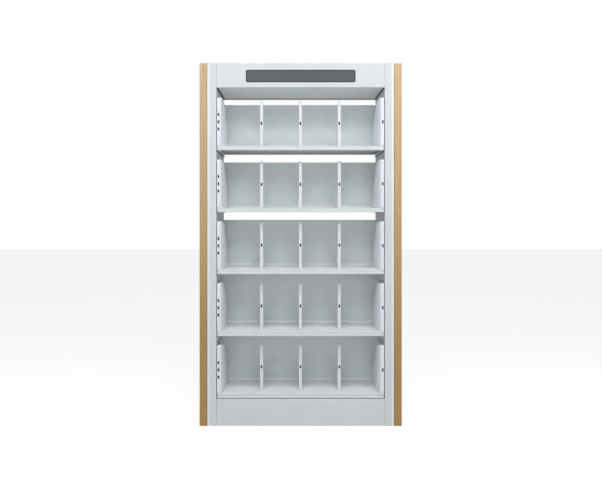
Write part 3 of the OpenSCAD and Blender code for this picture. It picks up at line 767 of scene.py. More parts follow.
class Workshop:
    """Mesh operations that the sub-assemblies share, and the last steps of each piece."""

    @staticmethod
    def arc(centre: Point, radius: float, start: float, end: float, steps: int = 8) -> list[Point]:
        """Returns points on an arc, both ends included; angles are in degrees."""
        angles = (math.radians(start + (end - start) * i / steps) for i in range(steps + 1))
        return [(centre[0] + radius * math.cos(a), centre[1] + radius * math.sin(a)) for a in angles]

    @staticmethod
    def ring(corners: Sequence[tuple[float, float, float]], steps: int = 8) -> list[Point]:
        """Outlines a ring of corner circles, anticlockwise, with straight tangents between them.

        Args:
            corners: Centre and radius of each corner circle, in order.
            steps: Straight pieces in each corner.

        Returns:
            The outline's points.
        """
        outward = []
        for (y0, z0, r0), (y1, z1, r1) in zip(corners, (*corners[1:], corners[0])):
            turn = math.atan2(z1 - z0, y1 - y0) - math.acos((r0 - r1) / math.hypot(y1 - y0, z1 - z0))
            outward.append(math.degrees(turn))
        points: list[Point] = []
        for (y, z, radius), before, after in zip(corners, (outward[-1], *outward[:-1]), outward):
            points += Workshop.arc((y, z), radius, before, before + (after - before) % 360, steps)
        return points

    @staticmethod
    def rounded_rectangle(width: float, height: float, radius: float, centre: Point) -> list[Point]:
        """Returns the outline of a rectangle with round corners.

        Args:
            width: The width.
            height: The height.
            radius: Radius of the corners.
            centre: The middle, as (X, Z).

        Returns:
            The outline's points.
        """
        half_w, half_h = width / 2 - radius, height / 2 - radius
        signs = ((-1, -1), (1, -1), (1, 1), (-1, 1))
        return Workshop.ring([(centre[0] + x * half_w, centre[1] + z * half_h, radius) for x, z in signs])

    @staticmethod
    def round_edges(
        bm: BMesh, edges: Iterable, radius: float, segments: int = 2, clamp: bool = False
    ) -> list[BMFace]:
        """Rounds edges and returns the new faces.

        Args:
            bm: The mesh.
            edges: The edges to round.
            radius: Radius of the round.
            segments: Faces across it.
            clamp: Whether a round stops where it would meet another.

        Returns:
            The faces of the rounds.
        """
        return bmesh.ops.bevel(
            bm, geom=list(edges), offset=radius, segments=segments, profile=0.5, affect="EDGES",
            material=-1, clamp_overlap=clamp,
        )["faces"]

    @staticmethod
    def shift(bm: BMesh, geom: Iterable, along: Sequence[float]) -> None:
        """Moves the vertices among some geometry."""
        verts = [g for g in geom if isinstance(g, bmesh.types.BMVert)]
        bmesh.ops.translate(bm, vec=along, verts=verts)

    @staticmethod
    def around(verts: Iterable) -> tuple[list, list]:
        """Returns the edges and the faces that meet some vertices, each of them once.

        Args:
            verts: The vertices.

        Returns:
            The edges and the faces.
        """
        edges = dict.fromkeys(e for v in verts for e in v.link_edges)
        faces = dict.fromkeys(f for v in verts for f in v.link_faces)
        return list(edges), list(faces)

    @staticmethod
    def paint(faces: Iterable[BMFace], finish: int) -> None:
        """Gives those faces that are still there the number of their finish.

        Args:
            faces: The faces.
            finish: Number of the finish in the piece's list.
        """
        for face in faces:
            if face.is_valid:
                face.material_index = finish

    @staticmethod
    def towards(centre: Corner, axis: Corner) -> Matrix:
        """Returns the matrix that stands a shape drawn along Z on a centre, along an axis."""
        turn = Vector((0, 0, 1)).rotation_difference(Vector(axis)).to_matrix().to_4x4()
        return Matrix.Translation(centre) @ turn

    @staticmethod
    def box(bm: BMesh, low: Corner, high: Corner, edge: float = 0.0, finish: int = 0) -> None:
        """Adds a box between two corners, with its edges rounded.

        Args:
            bm: The mesh to add to.
            low: The lowest corner.
            high: The highest corner.
            edge: Radius of the edges; 0 leaves them sharp.
            finish: Number of the finish in the piece's list.
        """
        low, high = Vector(low), Vector(high)
        size = high - low
        place = Matrix.Translation((low + high) / 2) @ Matrix.Diagonal((*size, 1.0))
        verts = bmesh.ops.create_cube(bm, size=1.0, matrix=place)["verts"]
        edges, faces = Workshop.around(verts)
        if edge:
            faces += Workshop.round_edges(bm, edges, min(edge, min(size) * 0.45), clamp=True)
        Workshop.paint(faces, finish)

    @staticmethod
    def block(bm: BMesh, centre: Corner, half: Corner, edge: float = 0.0, finish: int = 0) -> None:
        """Adds a box as box() does, around a centre and with half its size along each axis."""
        centre, half = Vector(centre), Vector(half)
        Workshop.box(bm, centre - half, centre + half, edge, finish)

    @staticmethod
    def wire(bm: BMesh, points: Iterable[Sequence[float]], closed: bool = True) -> list:
        """Returns new edges through a run of points.

        Args:
            bm: The mesh to work on.
            points: Places of the points.
            closed: Whether the run returns to its start.

        Returns:
            The edges.
        """
        verts = [bm.verts.new(p) for p in points]
        ends = zip(verts, (*verts[1:], verts[0])) if closed else zip(verts, verts[1:])
        return [bm.edges.new(pair) for pair in ends]

    @staticmethod
    def prism(
        bm: BMesh, outline: Iterable[Corner], along: Corner, finish: int = 0
    ) -> tuple[BMFace, BMFace]:
        """Draws a flat outline out along a vector.

        Args:
            bm: The mesh to add to.
            outline: Corners of the flat outline, in order.
            along: The vector.
            finish: Number of the finish in the piece's list.

        Returns:
            The first cap and the last cap.
        """
        first = bm.faces.new([bm.verts.new(p) for p in outline])
        before = set(bm.faces)
        grown = bmesh.ops.extrude_face_region(bm, geom=[first], use_keep_orig=True)["geom"]
        Workshop.shift(bm, grown, along)
        last = next(g for g in grown if isinstance(g, BMFace))
        walls = [f for f in bm.faces if f not in before and f is not last]
        Workshop.paint((first, last, *walls), finish)
        return first, last

    @staticmethod
    def folded_sheet(
        bm: BMesh,
        line: Sequence[Point],
        low_x: float,
        high_x: float,
        thick: float,
        fold: float,
        radii: dict[int, float] | None = None,
        opening: Sequence[Point] | None = None,
    ) -> None:
        """Bends a sheet along X from a Y-Z line, which is the sheet's outer face.

        Args:
            bm: The mesh to add to.
            line: Points of the line as (Y, Z); the outer face is on its left.
            low_x: Where the sheet starts.
            high_x: Where the sheet ends.
            thick: Thickness of the sheet.
            fold: Radius of the folds.
            radii: Other radii, by the number of the point in the line.
            opening: Outline in X-Z of a hole in the sheet's second stretch, or None.
        """
        work = bmesh.new()
        edges = Workshop.wire(work, [(low_x, y, z) for y, z in line], closed=False)
        grown = bmesh.ops.extrude_edge_only(work, edges=edges)["geom"]
        Workshop.shift(work, grown, (high_x - low_x, 0, 0))
        if opening:
            front = min(work.faces, key=lambda f: f.calc_center_median().y)
            rim = list(front.edges)
            level = front.calc_center_median().y
            bmesh.ops.delete(work, geom=[front], context="FACES_ONLY")
            hole = Workshop.wire(work, [(x, level, z) for x, z in opening])
            bmesh.ops.triangle_fill(work, use_beauty=True, edges=rim + hole)
        for number, (y, z) in enumerate(line[1:-1], start=1):
            radius = (radii or {}).get(number, fold)
            crease = [
                e for e in work.edges
                if len(e.link_faces) == 2
                and all(math.hypot(v.co.y - y, v.co.z - z) < 1e-6 for v in e.verts)
            ]
            Workshop.round_edges(work, crease, radius, max(3, round(radius / MM)), clamp=True)
        bmesh.ops.recalc_face_normals(work, faces=work.faces)
        if Workshop.needs_flip(work.faces, line):
            bmesh.ops.reverse_faces(work, faces=work.faces)
        bmesh.ops.solidify(work, geom=list(work.faces), thickness=thick)
        Workshop.join(bm, work)

    @staticmethod
    def needs_flip(faces: Sequence, line: Sequence[Point]) -> bool:
        """Says whether a sheet's faces look to the wrong side of its line.

        Args:
            faces: The sheet's faces.
            line: The line that the sheet was bent from.

        Returns:
            Whether they look the wrong way.
        """
        (y0, z0), (y1, z1) = max(zip(line, line[1:]), key=lambda ends: math.dist(*ends))
        left = Vector((0, -(z1 - z0), y1 - y0)).normalized()
        middle = Vector((0, (y0 + y1) / 2, (z0 + z1) / 2))
        for face in faces:
            face.normal_update()
        near = min(faces, key=lambda f: (f.calc_center_median() - middle).yz.length - f.calc_area())
        return near.normal.dot(left) < 0

    @staticmethod
    def hollow(bm: BMesh, thick: float, outward: int) -> None:
        """Gives an open shell its wall, on the inner side of its faces.

        Args:
            bm: The shell.
            thick: Thickness of the wall.
            outward: 1 or -1: the way along X in which the shell's largest face looks.
        """
        bmesh.ops.recalc_face_normals(bm, faces=bm.faces)
        side = max(bm.faces, key=lambda f: f.calc_area())
        if side.normal.x * outward < 0:
            bmesh.ops.reverse_faces(bm, faces=bm.faces)
        bmesh.ops.solidify(bm, geom=list(bm.faces), thickness=thick)

    @staticmethod
    def lathe(
        bm: BMesh,
        line: Sequence[Point],
        centre: Corner,
        axis: Corner = (0, 0, 1),
        steps: int = 32,
        finish: int = 0,
    ) -> None:
        """Turns a profile around an axis.

        Args:
            bm: The mesh to add to.
            line: Points of the profile as (radius, distance along the axis); it ends on the axis.
            centre: Point of the axis where the distance is 0.
            axis: Direction of the axis.
            steps: Sides of the turned shape.
            finish: Number of the finish in the piece's list.
        """
        work = bmesh.new()
        edges = Workshop.wire(work, [(r, 0, z) for r, z in line], closed=False)
        verts = list(work.verts)
        bmesh.ops.spin(
            work, geom=verts + edges, cent=(0, 0, 0), axis=(0, 0, 1), angle=math.tau, steps=steps,
            use_merge=True,
        )
        bmesh.ops.remove_doubles(work, verts=work.verts, dist=1e-6)
        bmesh.ops.transform(work, matrix=Workshop.towards(centre, axis), verts=work.verts)
        bmesh.ops.recalc_face_normals(work, faces=work.faces)
        Workshop.paint(work.faces, finish)
        Workshop.join(bm, work)

    @staticmethod
    def join(bm: BMesh, other: BMesh) -> None:
        """Moves the contents of one bmesh into another and frees it.

        Args:
            bm: The mesh that grows.
            other: The mesh that is taken in.
        """
        carrier = bpy.data.meshes.new("carrier")
        other.to_mesh(carrier)
        other.free()
        bm.from_mesh(carrier)
        bpy.data.meshes.remove(carrier)

    @staticmethod
    def hexagon(
        bm: BMesh, centre: Corner, radius: float, height: float, axis: Corner = (0, 0, 1), finish: int = 0
    ) -> None:
        """Adds a hexagon nut or bolt head.

        Args:
            bm: The mesh to add to.
            centre: Middle of the face that it stands on.
            radius: Distance from its middle to its corners.
            height: Its height.
            axis: Direction in which it stands.
            finish: Number of the finish in the piece's list.
        """
        lift = Matrix.Translation((0, 0, height / 2))
        verts = bmesh.ops.create_cone(
            bm, cap_ends=True, cap_tris=False, segments=6, radius1=radius, radius2=radius, depth=height,
            matrix=Workshop.towards(centre, axis) @ lift,
        )["verts"]
        edges, faces = Workshop.around(verts)
        faces += Workshop.round_edges(bm, edges, radius * 0.07)
        Workshop.paint(faces, finish)

    @staticmethod
    def shade(bm: BMesh, angle: float = 32.0, share: float = 8.0) -> None:
        """Smooths curved faces, and keeps flat faces and edges sharper than an angle as they are.

        Args:
            bm: The mesh.
            angle: The angle, in degrees.
            share: A face this many times larger than its bent neighbours counts as flat.
        """
        limit, level = math.radians(angle), math.radians(0.5)
        for edge in bm.edges:
            edge.smooth = len(edge.link_faces) != 2 or edge.calc_face_angle(0.0) < limit
        for face in bm.faces:
            bent = [
                other.calc_area()
                for edge in face.edges
                if edge.smooth and len(edge.link_faces) == 2 and edge.calc_face_angle(0.0) > level
                for other in edge.link_faces
                if other is not face
            ]
            face.smooth = bool(bent) and face.calc_area() < share * max(bent)

    @staticmethod
    def publish(
        bm: BMesh,
        name: str,
        finishes: Sequence[Finish],
        slot: str,
        body: str = ROOT,
        nodes: Sequence[str] = (),
        soften: float = 0.0,
        recalc: bool = False,
    ) -> bpy.types.Object:
        """Makes the finished object and fixes it to its body.

        Args:
            bm: The mesh, which is freed.
            name: Name of the piece.
            finishes: Its finishes, in the order that its faces number them.
            slot: Material slot of the record that it takes its finish from; not used.
            body: The body that it rides on.
            nodes: The frame's nodes that it stands for.
            soften: Width of the round on its remaining sharp edges.
            recalc: Whether the faces' directions are worked out again.

        Returns:
            The new object.
        """
        if recalc:
            bmesh.ops.recalc_face_normals(bm, faces=bm.faces)
        Workshop.shade(bm)
        mesh = bpy.data.meshes.new(name)
        bm.to_mesh(mesh)
        bm.free()
        for finish in finishes:
            mesh.materials.append(finish.material())
        piece = bpy.data.objects.new(name, mesh)
        bpy.context.scene.collection.objects.link(piece)
        if soften:
            Workshop.soften(piece, soften)
        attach(piece, body)
        if nodes:
            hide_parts(*nodes)
        log.info("%s: %d faces on %s", name, len(mesh.polygons), body)
        return piece

    @staticmethod
    def soften(piece: bpy.types.Object, width: float) -> None:
        """Rounds the sharp edges of a piece with a live modifier.

        Args:
            piece: The piece.
            width: Width of the round.
        """
        bevel = piece.modifiers.new("soft edges", "BEVEL")
        bevel.width = width
        bevel.segments = 2
        bevel.limit_method = "ANGLE"
        bevel.angle_limit = math.radians(40)
        bevel.harden_normals = True
        bevel.use_clamp_overlap = True

    @staticmethod
    def dress_node(node: str, finish: Finish) -> None:
        """Gives one of the frame's own nodes a finish.

        Args:
            node: Name of the node.
            finish: The finish.
        """
        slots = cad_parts[node].data.materials
        slots.clear()
        slots.append(finish.material())
        log.info("%s: dressed with %s", node, finish.name)


def mirrored(side: Side, low: Vector, high: Vector) -> tuple[Vector, Vector]:
    """Returns a box as it would be on the right side.

    Args:
        side: Which end of the bay.
        low: The lowest corner of the node's box.
        high: The highest corner of the node's box.

    Returns:
        The lowest and the highest corner.
    """
    if side is Side.RIGHT:
        return low, high
    return Vector((-high.x, low.y, low.z)), Vector((-low.x, high.y, high.z))


def put_on_side(bm: BMesh, side: Side) -> None:
    """Turns a mesh drawn for the right side into one for the given side.

    Args:
        bm: The mesh to work on.
        side: Which end of the bay.
    """
    if side is Side.LEFT:
        bmesh.ops.scale(bm, vec=(-1, 1, 1), verts=bm.verts)
        bmesh.ops.reverse_faces(bm, faces=bm.faces)


# ---------------------------------------------------------------------------------------------
# Sub-assemblies


@dataclass
class EndPanel:
    """A wood end panel: a laminated board with an edge band on its front and back.

    Attributes:
        side: Which end of the bay.
        band: Thickness of an edge band.
        glue: Depth of the groove between band and laminate.
        edge: Radius of the long edges.
    """

    side: Side
    band: float = 1.6 * MM
    glue: float = 0.35 * MM
    edge: float = 1.2 * MM

    def build(self) -> None:
        """Builds the board and its bands as one piece."""
        node = f"end_panel_{self.side.word}"
        low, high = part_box(node)
        bm = bmesh.new()
        board_low = low + Vector((0, self.band + self.glue, 0))
        board_high = high - Vector((0, self.band + self.glue, 0))
        Workshop.box(bm, board_low, board_high, 0.4 * MM)
        core_low = low + Vector((self.glue * 2, self.band - 0.1 * MM, self.glue))
        core_high = high - Vector((self.glue * 2, self.band - 0.1 * MM, self.glue))
        Workshop.box(bm, core_low, core_high, finish=1)
        seam = high.x - self.band if self.side is Side.LEFT else low.x + self.band
        for start, end in ((low.y, low.y + self.band), (high.y - self.band, high.y)):
            for x0, x1 in ((low.x, seam), (seam, high.x)):
                # The narrow strip at the inner edge takes the dark line finish as painted shade beside
                # the upright.
                finish = 1 if x1 - x0 < 2 * self.band else 0
                edge = self.edge * (1 - 0.6 * finish)
                Workshop.box(bm, (x0, start, low.z), (x1, end, high.z), edge, finish)
        finishes = [PALETTE.laminate, PALETTE.band]
        Workshop.publish(bm, node + "_board", finishes, "wood_laminate", nodes=[node])


@dataclass
class Upright:
    """A folded steel upright with two columns of slots and a plate for each foot.

    Attributes:
        side: Which end of the bay.
        sheet: Thickness of the steel.
        fold: Radius of the folds.
        strip_w: Width of the slanted strip at the outer front edge.
        strip_d: Depth of that strip.
        slot_w: Width of a slot.
        slot_h: Height of a slot.
        pitch: Distance from slot to slot.
        first_slot: Height of the lowest slot.
        columns: Distance of each column of slots behind the panel's front edge.
        plate_z: Height of the foot plates.
        plate_t: Thickness of the foot plates.
        plate_half: Half the depth of the foot plates.
    """

    side: Side
    sheet: float = 1.5 * MM
    fold: float = 1.5 * MM
    strip_w: float = 12 * MM
    strip_d: float = 3 * MM
    slot_w: float = 4.4 * MM
    slot_h: float = 14 * MM
    pitch: float = 33.5 * MM
    first_slot: float = 205 * MM
    columns: tuple[float, float] = (60 * MM, 235 * MM)
    plate_z: float = 30 * MM
    plate_t: float = 4 * MM
    plate_half: float = 24 * MM

    def section(self, low: Vector, high: Vector) -> list[Corner]:
        """Returns the outline of the upright seen from above, at its foot.

        Args:
            low: The lowest corner of the node's box.
            high: The highest corner of the node's box.

        Returns:
            The outline's corners.
        """
        front = low.y
        return [
            (low.x, front, low.z),
            (high.x - self.strip_w, front, low.z),
            (high.x, front + self.strip_d, low.z),
            (high.x, high.y, low.z),
            (low.x, high.y, low.z),
        ]

    def cut_slots(self, bm: BMesh, x: float, front: float, top: float) -> None:
        """Cuts the columns of slots in the inner wall.

        Args:
            bm: The mesh to work on.
            x: Place of the inner wall.
            front: The panel's front edge.
            top: Height of the case.
        """
        count = int((top - 130 * MM - self.slot_h - self.first_slot) / self.pitch) + 1
        rows = [self.first_slot + self.pitch * n for n in range(count)]
        cuts = [((0, 0, z + dz), (0, 0, 1)) for z in rows for dz in (0.0, self.slot_h)]
        sides = (-self.slot_w / 2, self.slot_w / 2)
        cuts += [((0, front + column + side, 0), (0, 1, 0)) for column in self.columns for side in sides]
        for point, normal in cuts:
            wall = [f for f in bm.faces if abs(f.calc_center_median().x - x) < 1e-5]
            geom = {*wall, *(e for f in wall for e in f.edges), *(v for f in wall for v in f.verts)}
            bmesh.ops.bisect_plane(bm, geom=list(geom), plane_co=point, plane_no=normal, dist=1e-7)
        gone = [f for f in bm.faces if self.in_slot(f.calc_center_median(), x, front, rows)]
        bmesh.ops.delete(bm, geom=gone, context="FACES")

    def in_slot(self, point: Vector, x: float, front: float, rows: Sequence[float]) -> bool:
        """Says whether a face's middle lies in a slot.

        Args:
            point: Middle of the face.
            x: Place of the inner wall.
            front: The panel's front edge.
            rows: Heights of the slots.

        Returns:
            Whether it does.
        """
        if abs(point.x - x) > 1e-5:
            return False
        column = any(abs(point.y - front - c) < self.slot_w / 2 for c in self.columns)
        return column and any(z < point.z < z + self.slot_h for z in rows)

    def add_foot_plate(self, bm: BMesh, x: float, y: float, half: float) -> None:
        """Adds the welded plate and the nut that take a foot's stud.

        Args:
            bm: The mesh to work on.
            x: The stud's place along X.
            y: The stud's place along Y.
            half: Half the width of the plate.
        """
        top = self.plate_z + self.plate_t
        size = (half, self.plate_half, self.plate_t / 2)
        Workshop.block(bm, (x, y, self.plate_z + self.plate_t / 2), size, 0.5 * MM)
        Workshop.hexagon(bm, (x, y, top), 9 * MM, 8 * MM)

    def build(self) -> None:
        """Builds the upright as one piece."""
        node = f"upright_{self.side.word}"
        low, high = mirrored(self.side, *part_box(node))
        bm = bmesh.new()
        loop = Workshop.wire(bm, self.section(low, high))
        grown = bmesh.ops.extrude_edge_only(bm, edges=loop)["geom"]
        Workshop.shift(bm, grown, (0, 0, high.z - low.z))
        folds = [e for e in bm.edges if e.calc_length() > high.z / 2]
        Workshop.round_edges(bm, folds, self.fold, 3)
        # The slanted strip takes the lighter shelf coat: a painted highlight along the outer front edge.
        for face in bm.faces:
            spot = face.calc_center_median()
            if spot.x > high.x - self.strip_w - self.fold and spot.y < low.y + self.strip_d + self.fold:
                face.material_index = 1
        front = low.y - 2 * MM
        self.cut_slots(bm, low.x, front, high.z)
        Workshop.hollow(bm, self.sheet, 1)
        middle = (low.x + high.x) / 2
        for number in (1, 3):
            foot_low, foot_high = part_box(f"foot_{number}")
            y = (foot_low.y + foot_high.y) / 2
            self.add_foot_plate(bm, middle, y, (high.x - low.x - self.sheet) / 2)
        put_on_side(bm, self.side)
        coat_and_strip_highlight = [PALETTE.white_coat, PALETTE.lit_shelf_coat]
        Workshop.publish(bm, node + "_column", coat_and_strip_highlight, "white_steel", nodes=[node])


@dataclass
class Shelf:
    """A folded shelf with a beaded front edge, a rear stop and a stiffener below.

    Attributes:
        tier: Number of the shelf, from the top.
        sheet: Thickness of the steel.
        lip: Height of the folded edges.
        bead: Height of the bead along the lower part of the front edge.
        bead_out: How far the bead stands out.
    """

    tier: int
    sheet: float = 1.2 * MM
    lip: float = 24 * MM
    bead: float = 10 * MM
    bead_out: float = 2 * MM

    def build(self) -> None:
        """Builds the shelf as one piece."""
        node = f"shelf_{self.tier}"
        low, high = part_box(node)
        top = low.z + self.lip
        front, rear = low.y, high.y
        web = front + self.bead_out
        bm = bmesh.new()
        tray = [
            (rear, low.z),
            (rear, top),
            (web, top),
            (web, low.z + self.bead + 1.2 * MM),
            (front, low.z + self.bead),
            (front, low.z),
            (front + 14 * MM, low.z),
        ]
        radii = {5: 0.8 * MM, 4: 1.6 * MM, 3: 0.5 * MM, 2: 1.4 * MM, 1: 2.2 * MM}
        Workshop.folded_sheet(bm, tray[::-1], low.x, high.x, self.sheet, 1 * MM, radii)
        Workshop.box(
            bm, (low.x, rear - self.sheet * 1.6, top - 2 * MM), (high.x, rear, high.z), 0.55 * MM
        )
        for x0, x1 in ((low.x, low.x + self.sheet), (high.x - self.sheet, high.x)):
            Workshop.box(bm, (x0, web + 1 * MM, low.z), (x1, rear - 1 * MM, top - 0.3 * MM), 0.4 * MM)
        self.add_stiffener(bm, low, high, top)
        bm.normal_update()
        # The lighter coat on the top is painted light; the darker coat inside the tray is painted shade.
        for face in bm.faces:
            face.material_index = self.finish_of(face, web, rear, top)
        finishes = [PALETTE.lit_shelf_coat, PALETTE.white_coat, PALETTE.shaded_under_coat]
        Workshop.publish(bm, f"shelf_{self.tier}_tray", finishes, "white_steel", nodes=[node])

    @staticmethod
    def finish_of(face: BMFace, web: float, rear: float, top: float) -> int:
        """Returns 0 on the top and the rear, 1 on the front edge and 2 inside the tray; 0 is painted
        lighter as light and 2 darker as shade.

        Args:
            face: The face.
            web: Depth of the front edge above its bead.
            rear: Depth of the rear edge.
            top: Height of the shelf's top.

        Returns:
            The number of the finish.
        """
        centre = face.calc_center_median()
        if centre.z > top - 0.5 * MM or (face.normal.y > 0.7 and centre.y > rear - 0.5 * MM):
            return 0
        return 1 if face.normal.y < -0.3 and centre.y < web + 1 * MM else 2

    def add_stiffener(self, bm: BMesh, low: Vector, high: Vector, top: float) -> None:
        """Adds the channel under the middle of the shelf.

        Args:
            bm: The mesh to work on.
            low: The lowest corner of the node's box.
            high: The highest corner of the node's box.
            top: Height of the shelf's top.
        """
        middle = (low.y + high.y) / 2
        line = [
            (middle + 15 * MM, top - self.sheet),
            (middle + 15 * MM, top - 16 * MM),
            (middle - 15 * MM, top - 16 * MM),
            (middle - 15 * MM, top - self.sheet),
        ]
        Workshop.folded_sheet(bm, line[::-1], low.x + 20 * MM, high.x - 20 * MM, self.sheet, 1.4 * MM)


@dataclass
class BackPanel:
    """A back panel with its edges folded to the rear.

    Attributes:
        tier: Number of the tier, from the top.
        sheet: Thickness of the steel.
    """

    tier: int
    sheet: float = 1.2 * MM

    def build(self) -> None:
        """Builds the panel as one piece."""
        node = f"back_panel_{self.tier}"
        low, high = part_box(node)
        bm = bmesh.new()
        line = [(high.y, high.z), (low.y, high.z), (low.y, low.z), (high.y, low.z)]
        Workshop.folded_sheet(bm, line[::-1], low.x, high.x, self.sheet, 1.6 * MM)
        for x0, x1 in ((low.x, low.x + self.sheet), (high.x - self.sheet, high.x)):
            Workshop.box(
                bm, (x0, low.y + 1 * MM, low.z + 1.5 * MM), (x1, high.y, high.z - 1.5 * MM), 0.4 * MM
            )
        Workshop.publish(bm, node + "_sheet", [PALETTE.grey_coat], "grey_steel", nodes=[node])


@dataclass
class Cheeks:
    """The five steel cheeks of one side, which carry the shelves and hook into the upright.

    Attributes:
        side: Which end of the bay.
        plate: Thickness of the steel.
        lip: Height of a shelf's folded edge.
        height: Height of a cheek above its shelf.
        flange: Width of the rear flange.
        ledge: Width of the ledge below the shelf.
        shadow_strip_w: Width of a dark strip that is painted shadow in the gap beside a shelf.
        hook_rows: Heights of the hooks above the shelf.
    """

    side: Side
    plate: float = 2 * MM
    lip: float = 24 * MM
    height: float = 255 * MM
    flange: float = 27 * MM
    ledge: float = 16 * MM
    shadow_strip_w: float = 8 * MM
    hook_rows: tuple[float, float] = (30 * MM, 197.5 * MM)

    def build(self) -> None:
        """Builds the five cheeks as one piece."""
        node = f"cheeks_{self.side.word}"
        low, high = mirrored(self.side, *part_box(node))
        hook_end = high.x
        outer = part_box("upright_right")[0].x - 2 * MM
        bm = bmesh.new()
        for tier in TIERS:
            shelf_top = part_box(f"shelf_{tier}")[0].z + self.lip
            bottom, top = shelf_top - self.lip - self.plate, shelf_top + self.height
            Workshop.box(bm, (outer - self.plate, low.y, bottom), (outer, high.y, top), 0.5 * MM)
            flange = (outer - self.flange, high.y - self.plate, shelf_top + 1 * MM)
            Workshop.box(bm, flange, (outer, high.y, top), 0.5 * MM)
            ledge = (outer - self.plate - self.ledge, low.y + 6 * MM, bottom)
            Workshop.box(bm, ledge, (outer, high.y, bottom + self.plate), 0.5 * MM)
            self.add_hooks(bm, outer, hook_end, shelf_top)
        put_on_side(bm, self.side)
        Workshop.publish(bm, node + "_plates", [PALETTE.grey_coat], "grey_steel", nodes=[node])
        self.build_shadow_strips(low.y)

    def build_shadow_strips(self, front: float) -> None:
        """Builds the dark strips that are painted shadow in the gaps beside the shelves and the header.

        Args:
            front: Where the strips start.
        """
        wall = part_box("upright_right")[0].x - 0.2 * MM
        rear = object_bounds()[1][1] - 3 * MM
        levels = [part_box(f"shelf_{tier}")[0].z - self.plate for tier in TIERS]
        levels.append(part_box("header_pan")[0].z)
        bm = bmesh.new()
        for z in levels:
            Workshop.box(
                bm, (wall - self.shadow_strip_w, front, z - 1.2 * MM), (wall, rear, z - 0.05 * MM), 0.4 * MM
            )
        put_on_side(bm, self.side)
        Workshop.publish(bm, f"buffer_strips_{self.side.word}", [PALETTE.rubber], "black_rubber")

    def add_hooks(self, bm: BMesh, outer: float, end: float, shelf_top: float) -> None:
        """Adds the four hooks of one cheek.

        Args:
            bm: The mesh to work on.
            outer: The cheek's outer face.
            end: How far the hooks reach.
            shelf_top: Height of the shelf's top.
        """
        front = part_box("end_panel_right")[0].y
        for column in Upright.columns:
            for rise in self.hook_rows:
                foot = Vector((end, front + column, shelf_top + rise))
                neck = foot + mm(0, -1.8, 0)
                neck.x = outer - 1 * MM
                Workshop.box(bm, neck, foot + mm(0, 1.8, 13.2), 0.4 * MM)
                Workshop.box(bm, foot + mm(-2.2, -1.8, -8), foot + mm(0, 1.8, 2), 0.4 * MM)


@dataclass
class Divider:
    """A divider of two moulded shells that meet on its middle plane.

    Attributes:
        tier: Number of the tier, from the top.
        number: Number of the divider, from the left.
        wall: Thickness of the shells.
        seam: Gap between the shells.
        top_r: Radius of the top front corner.
        corner_r: Radius of the other corners.
        heel_h: Height at which the slanted rear edge ends.
        edge: Radius of the outer edges.
    """

    tier: int
    number: int
    wall: float = 2 * MM
    seam: float = 0.3 * MM
    top_r: float = 12 * MM
    corner_r: float = 5 * MM
    heel_h: float = 55 * MM
    edge: float = 3.1 * MM

    def outline(self, low: Vector, high: Vector) -> list[Point]:
        """Returns the side outline.

        Args:
            low: The lowest corner of the node's box.
            high: The highest corner of the node's box.

        Returns:
            The outline's points.
        """
        r = self.corner_r
        return Workshop.ring(
            [
                (low.y + r, low.z + r, r),
                (high.y - r, low.z + r, r),
                (high.y - r, low.z + self.heel_h, r),
                (low.y + self.top_r, high.z - self.top_r, self.top_r),
            ]
        )

    def build(self) -> None:
        """Builds both shells as one piece."""
        node = f"divider_{self.tier}_{self.number}"
        low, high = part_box(node)
        middle = (low.x + high.x) / 2
        half = (high.x - low.x) / 2 - self.seam / 2
        bm = bmesh.new()
        outline = self.outline(low, high)
        inner, outer = Workshop.prism(bm, [(0, y, z) for y, z in outline], (half, 0, 0))
        Workshop.round_edges(bm, outer.edges, self.edge, 4)
        bmesh.ops.delete(bm, geom=[inner], context="FACES_ONLY")
        Workshop.hollow(bm, self.wall, 1)
        self.add_rib(bm, low, high, half)
        bmesh.ops.translate(bm, vec=(self.seam / 2, 0, 0), verts=bm.verts)
        geom = [*bm.verts, *bm.edges, *bm.faces]
        bmesh.ops.mirror(bm, geom=geom, axis="X", merge_dist=-1)
        bmesh.ops.recalc_face_normals(bm, faces=bm.faces)
        bmesh.ops.translate(bm, vec=(middle, 0, 0), verts=bm.verts)
        Workshop.publish(bm, node + "_shells", [PALETTE.antenna_shell], "white_plastic", nodes=[node])

    def add_rib(self, bm: BMesh, low: Vector, high: Vector, half: float) -> None:
        """Adds the foot rib that stands on the shelf.

        Args:
            bm: The mesh to work on.
            low: The lowest corner of the node's box.
            high: The highest corner of the node's box.
            half: Thickness of one shell's half of the divider.
        """
        Workshop.box(
            bm,
            (0.3 * MM, low.y + 14 * MM, low.z),
            (half - self.edge, high.y - 14 * MM, low.z + self.wall),
        )


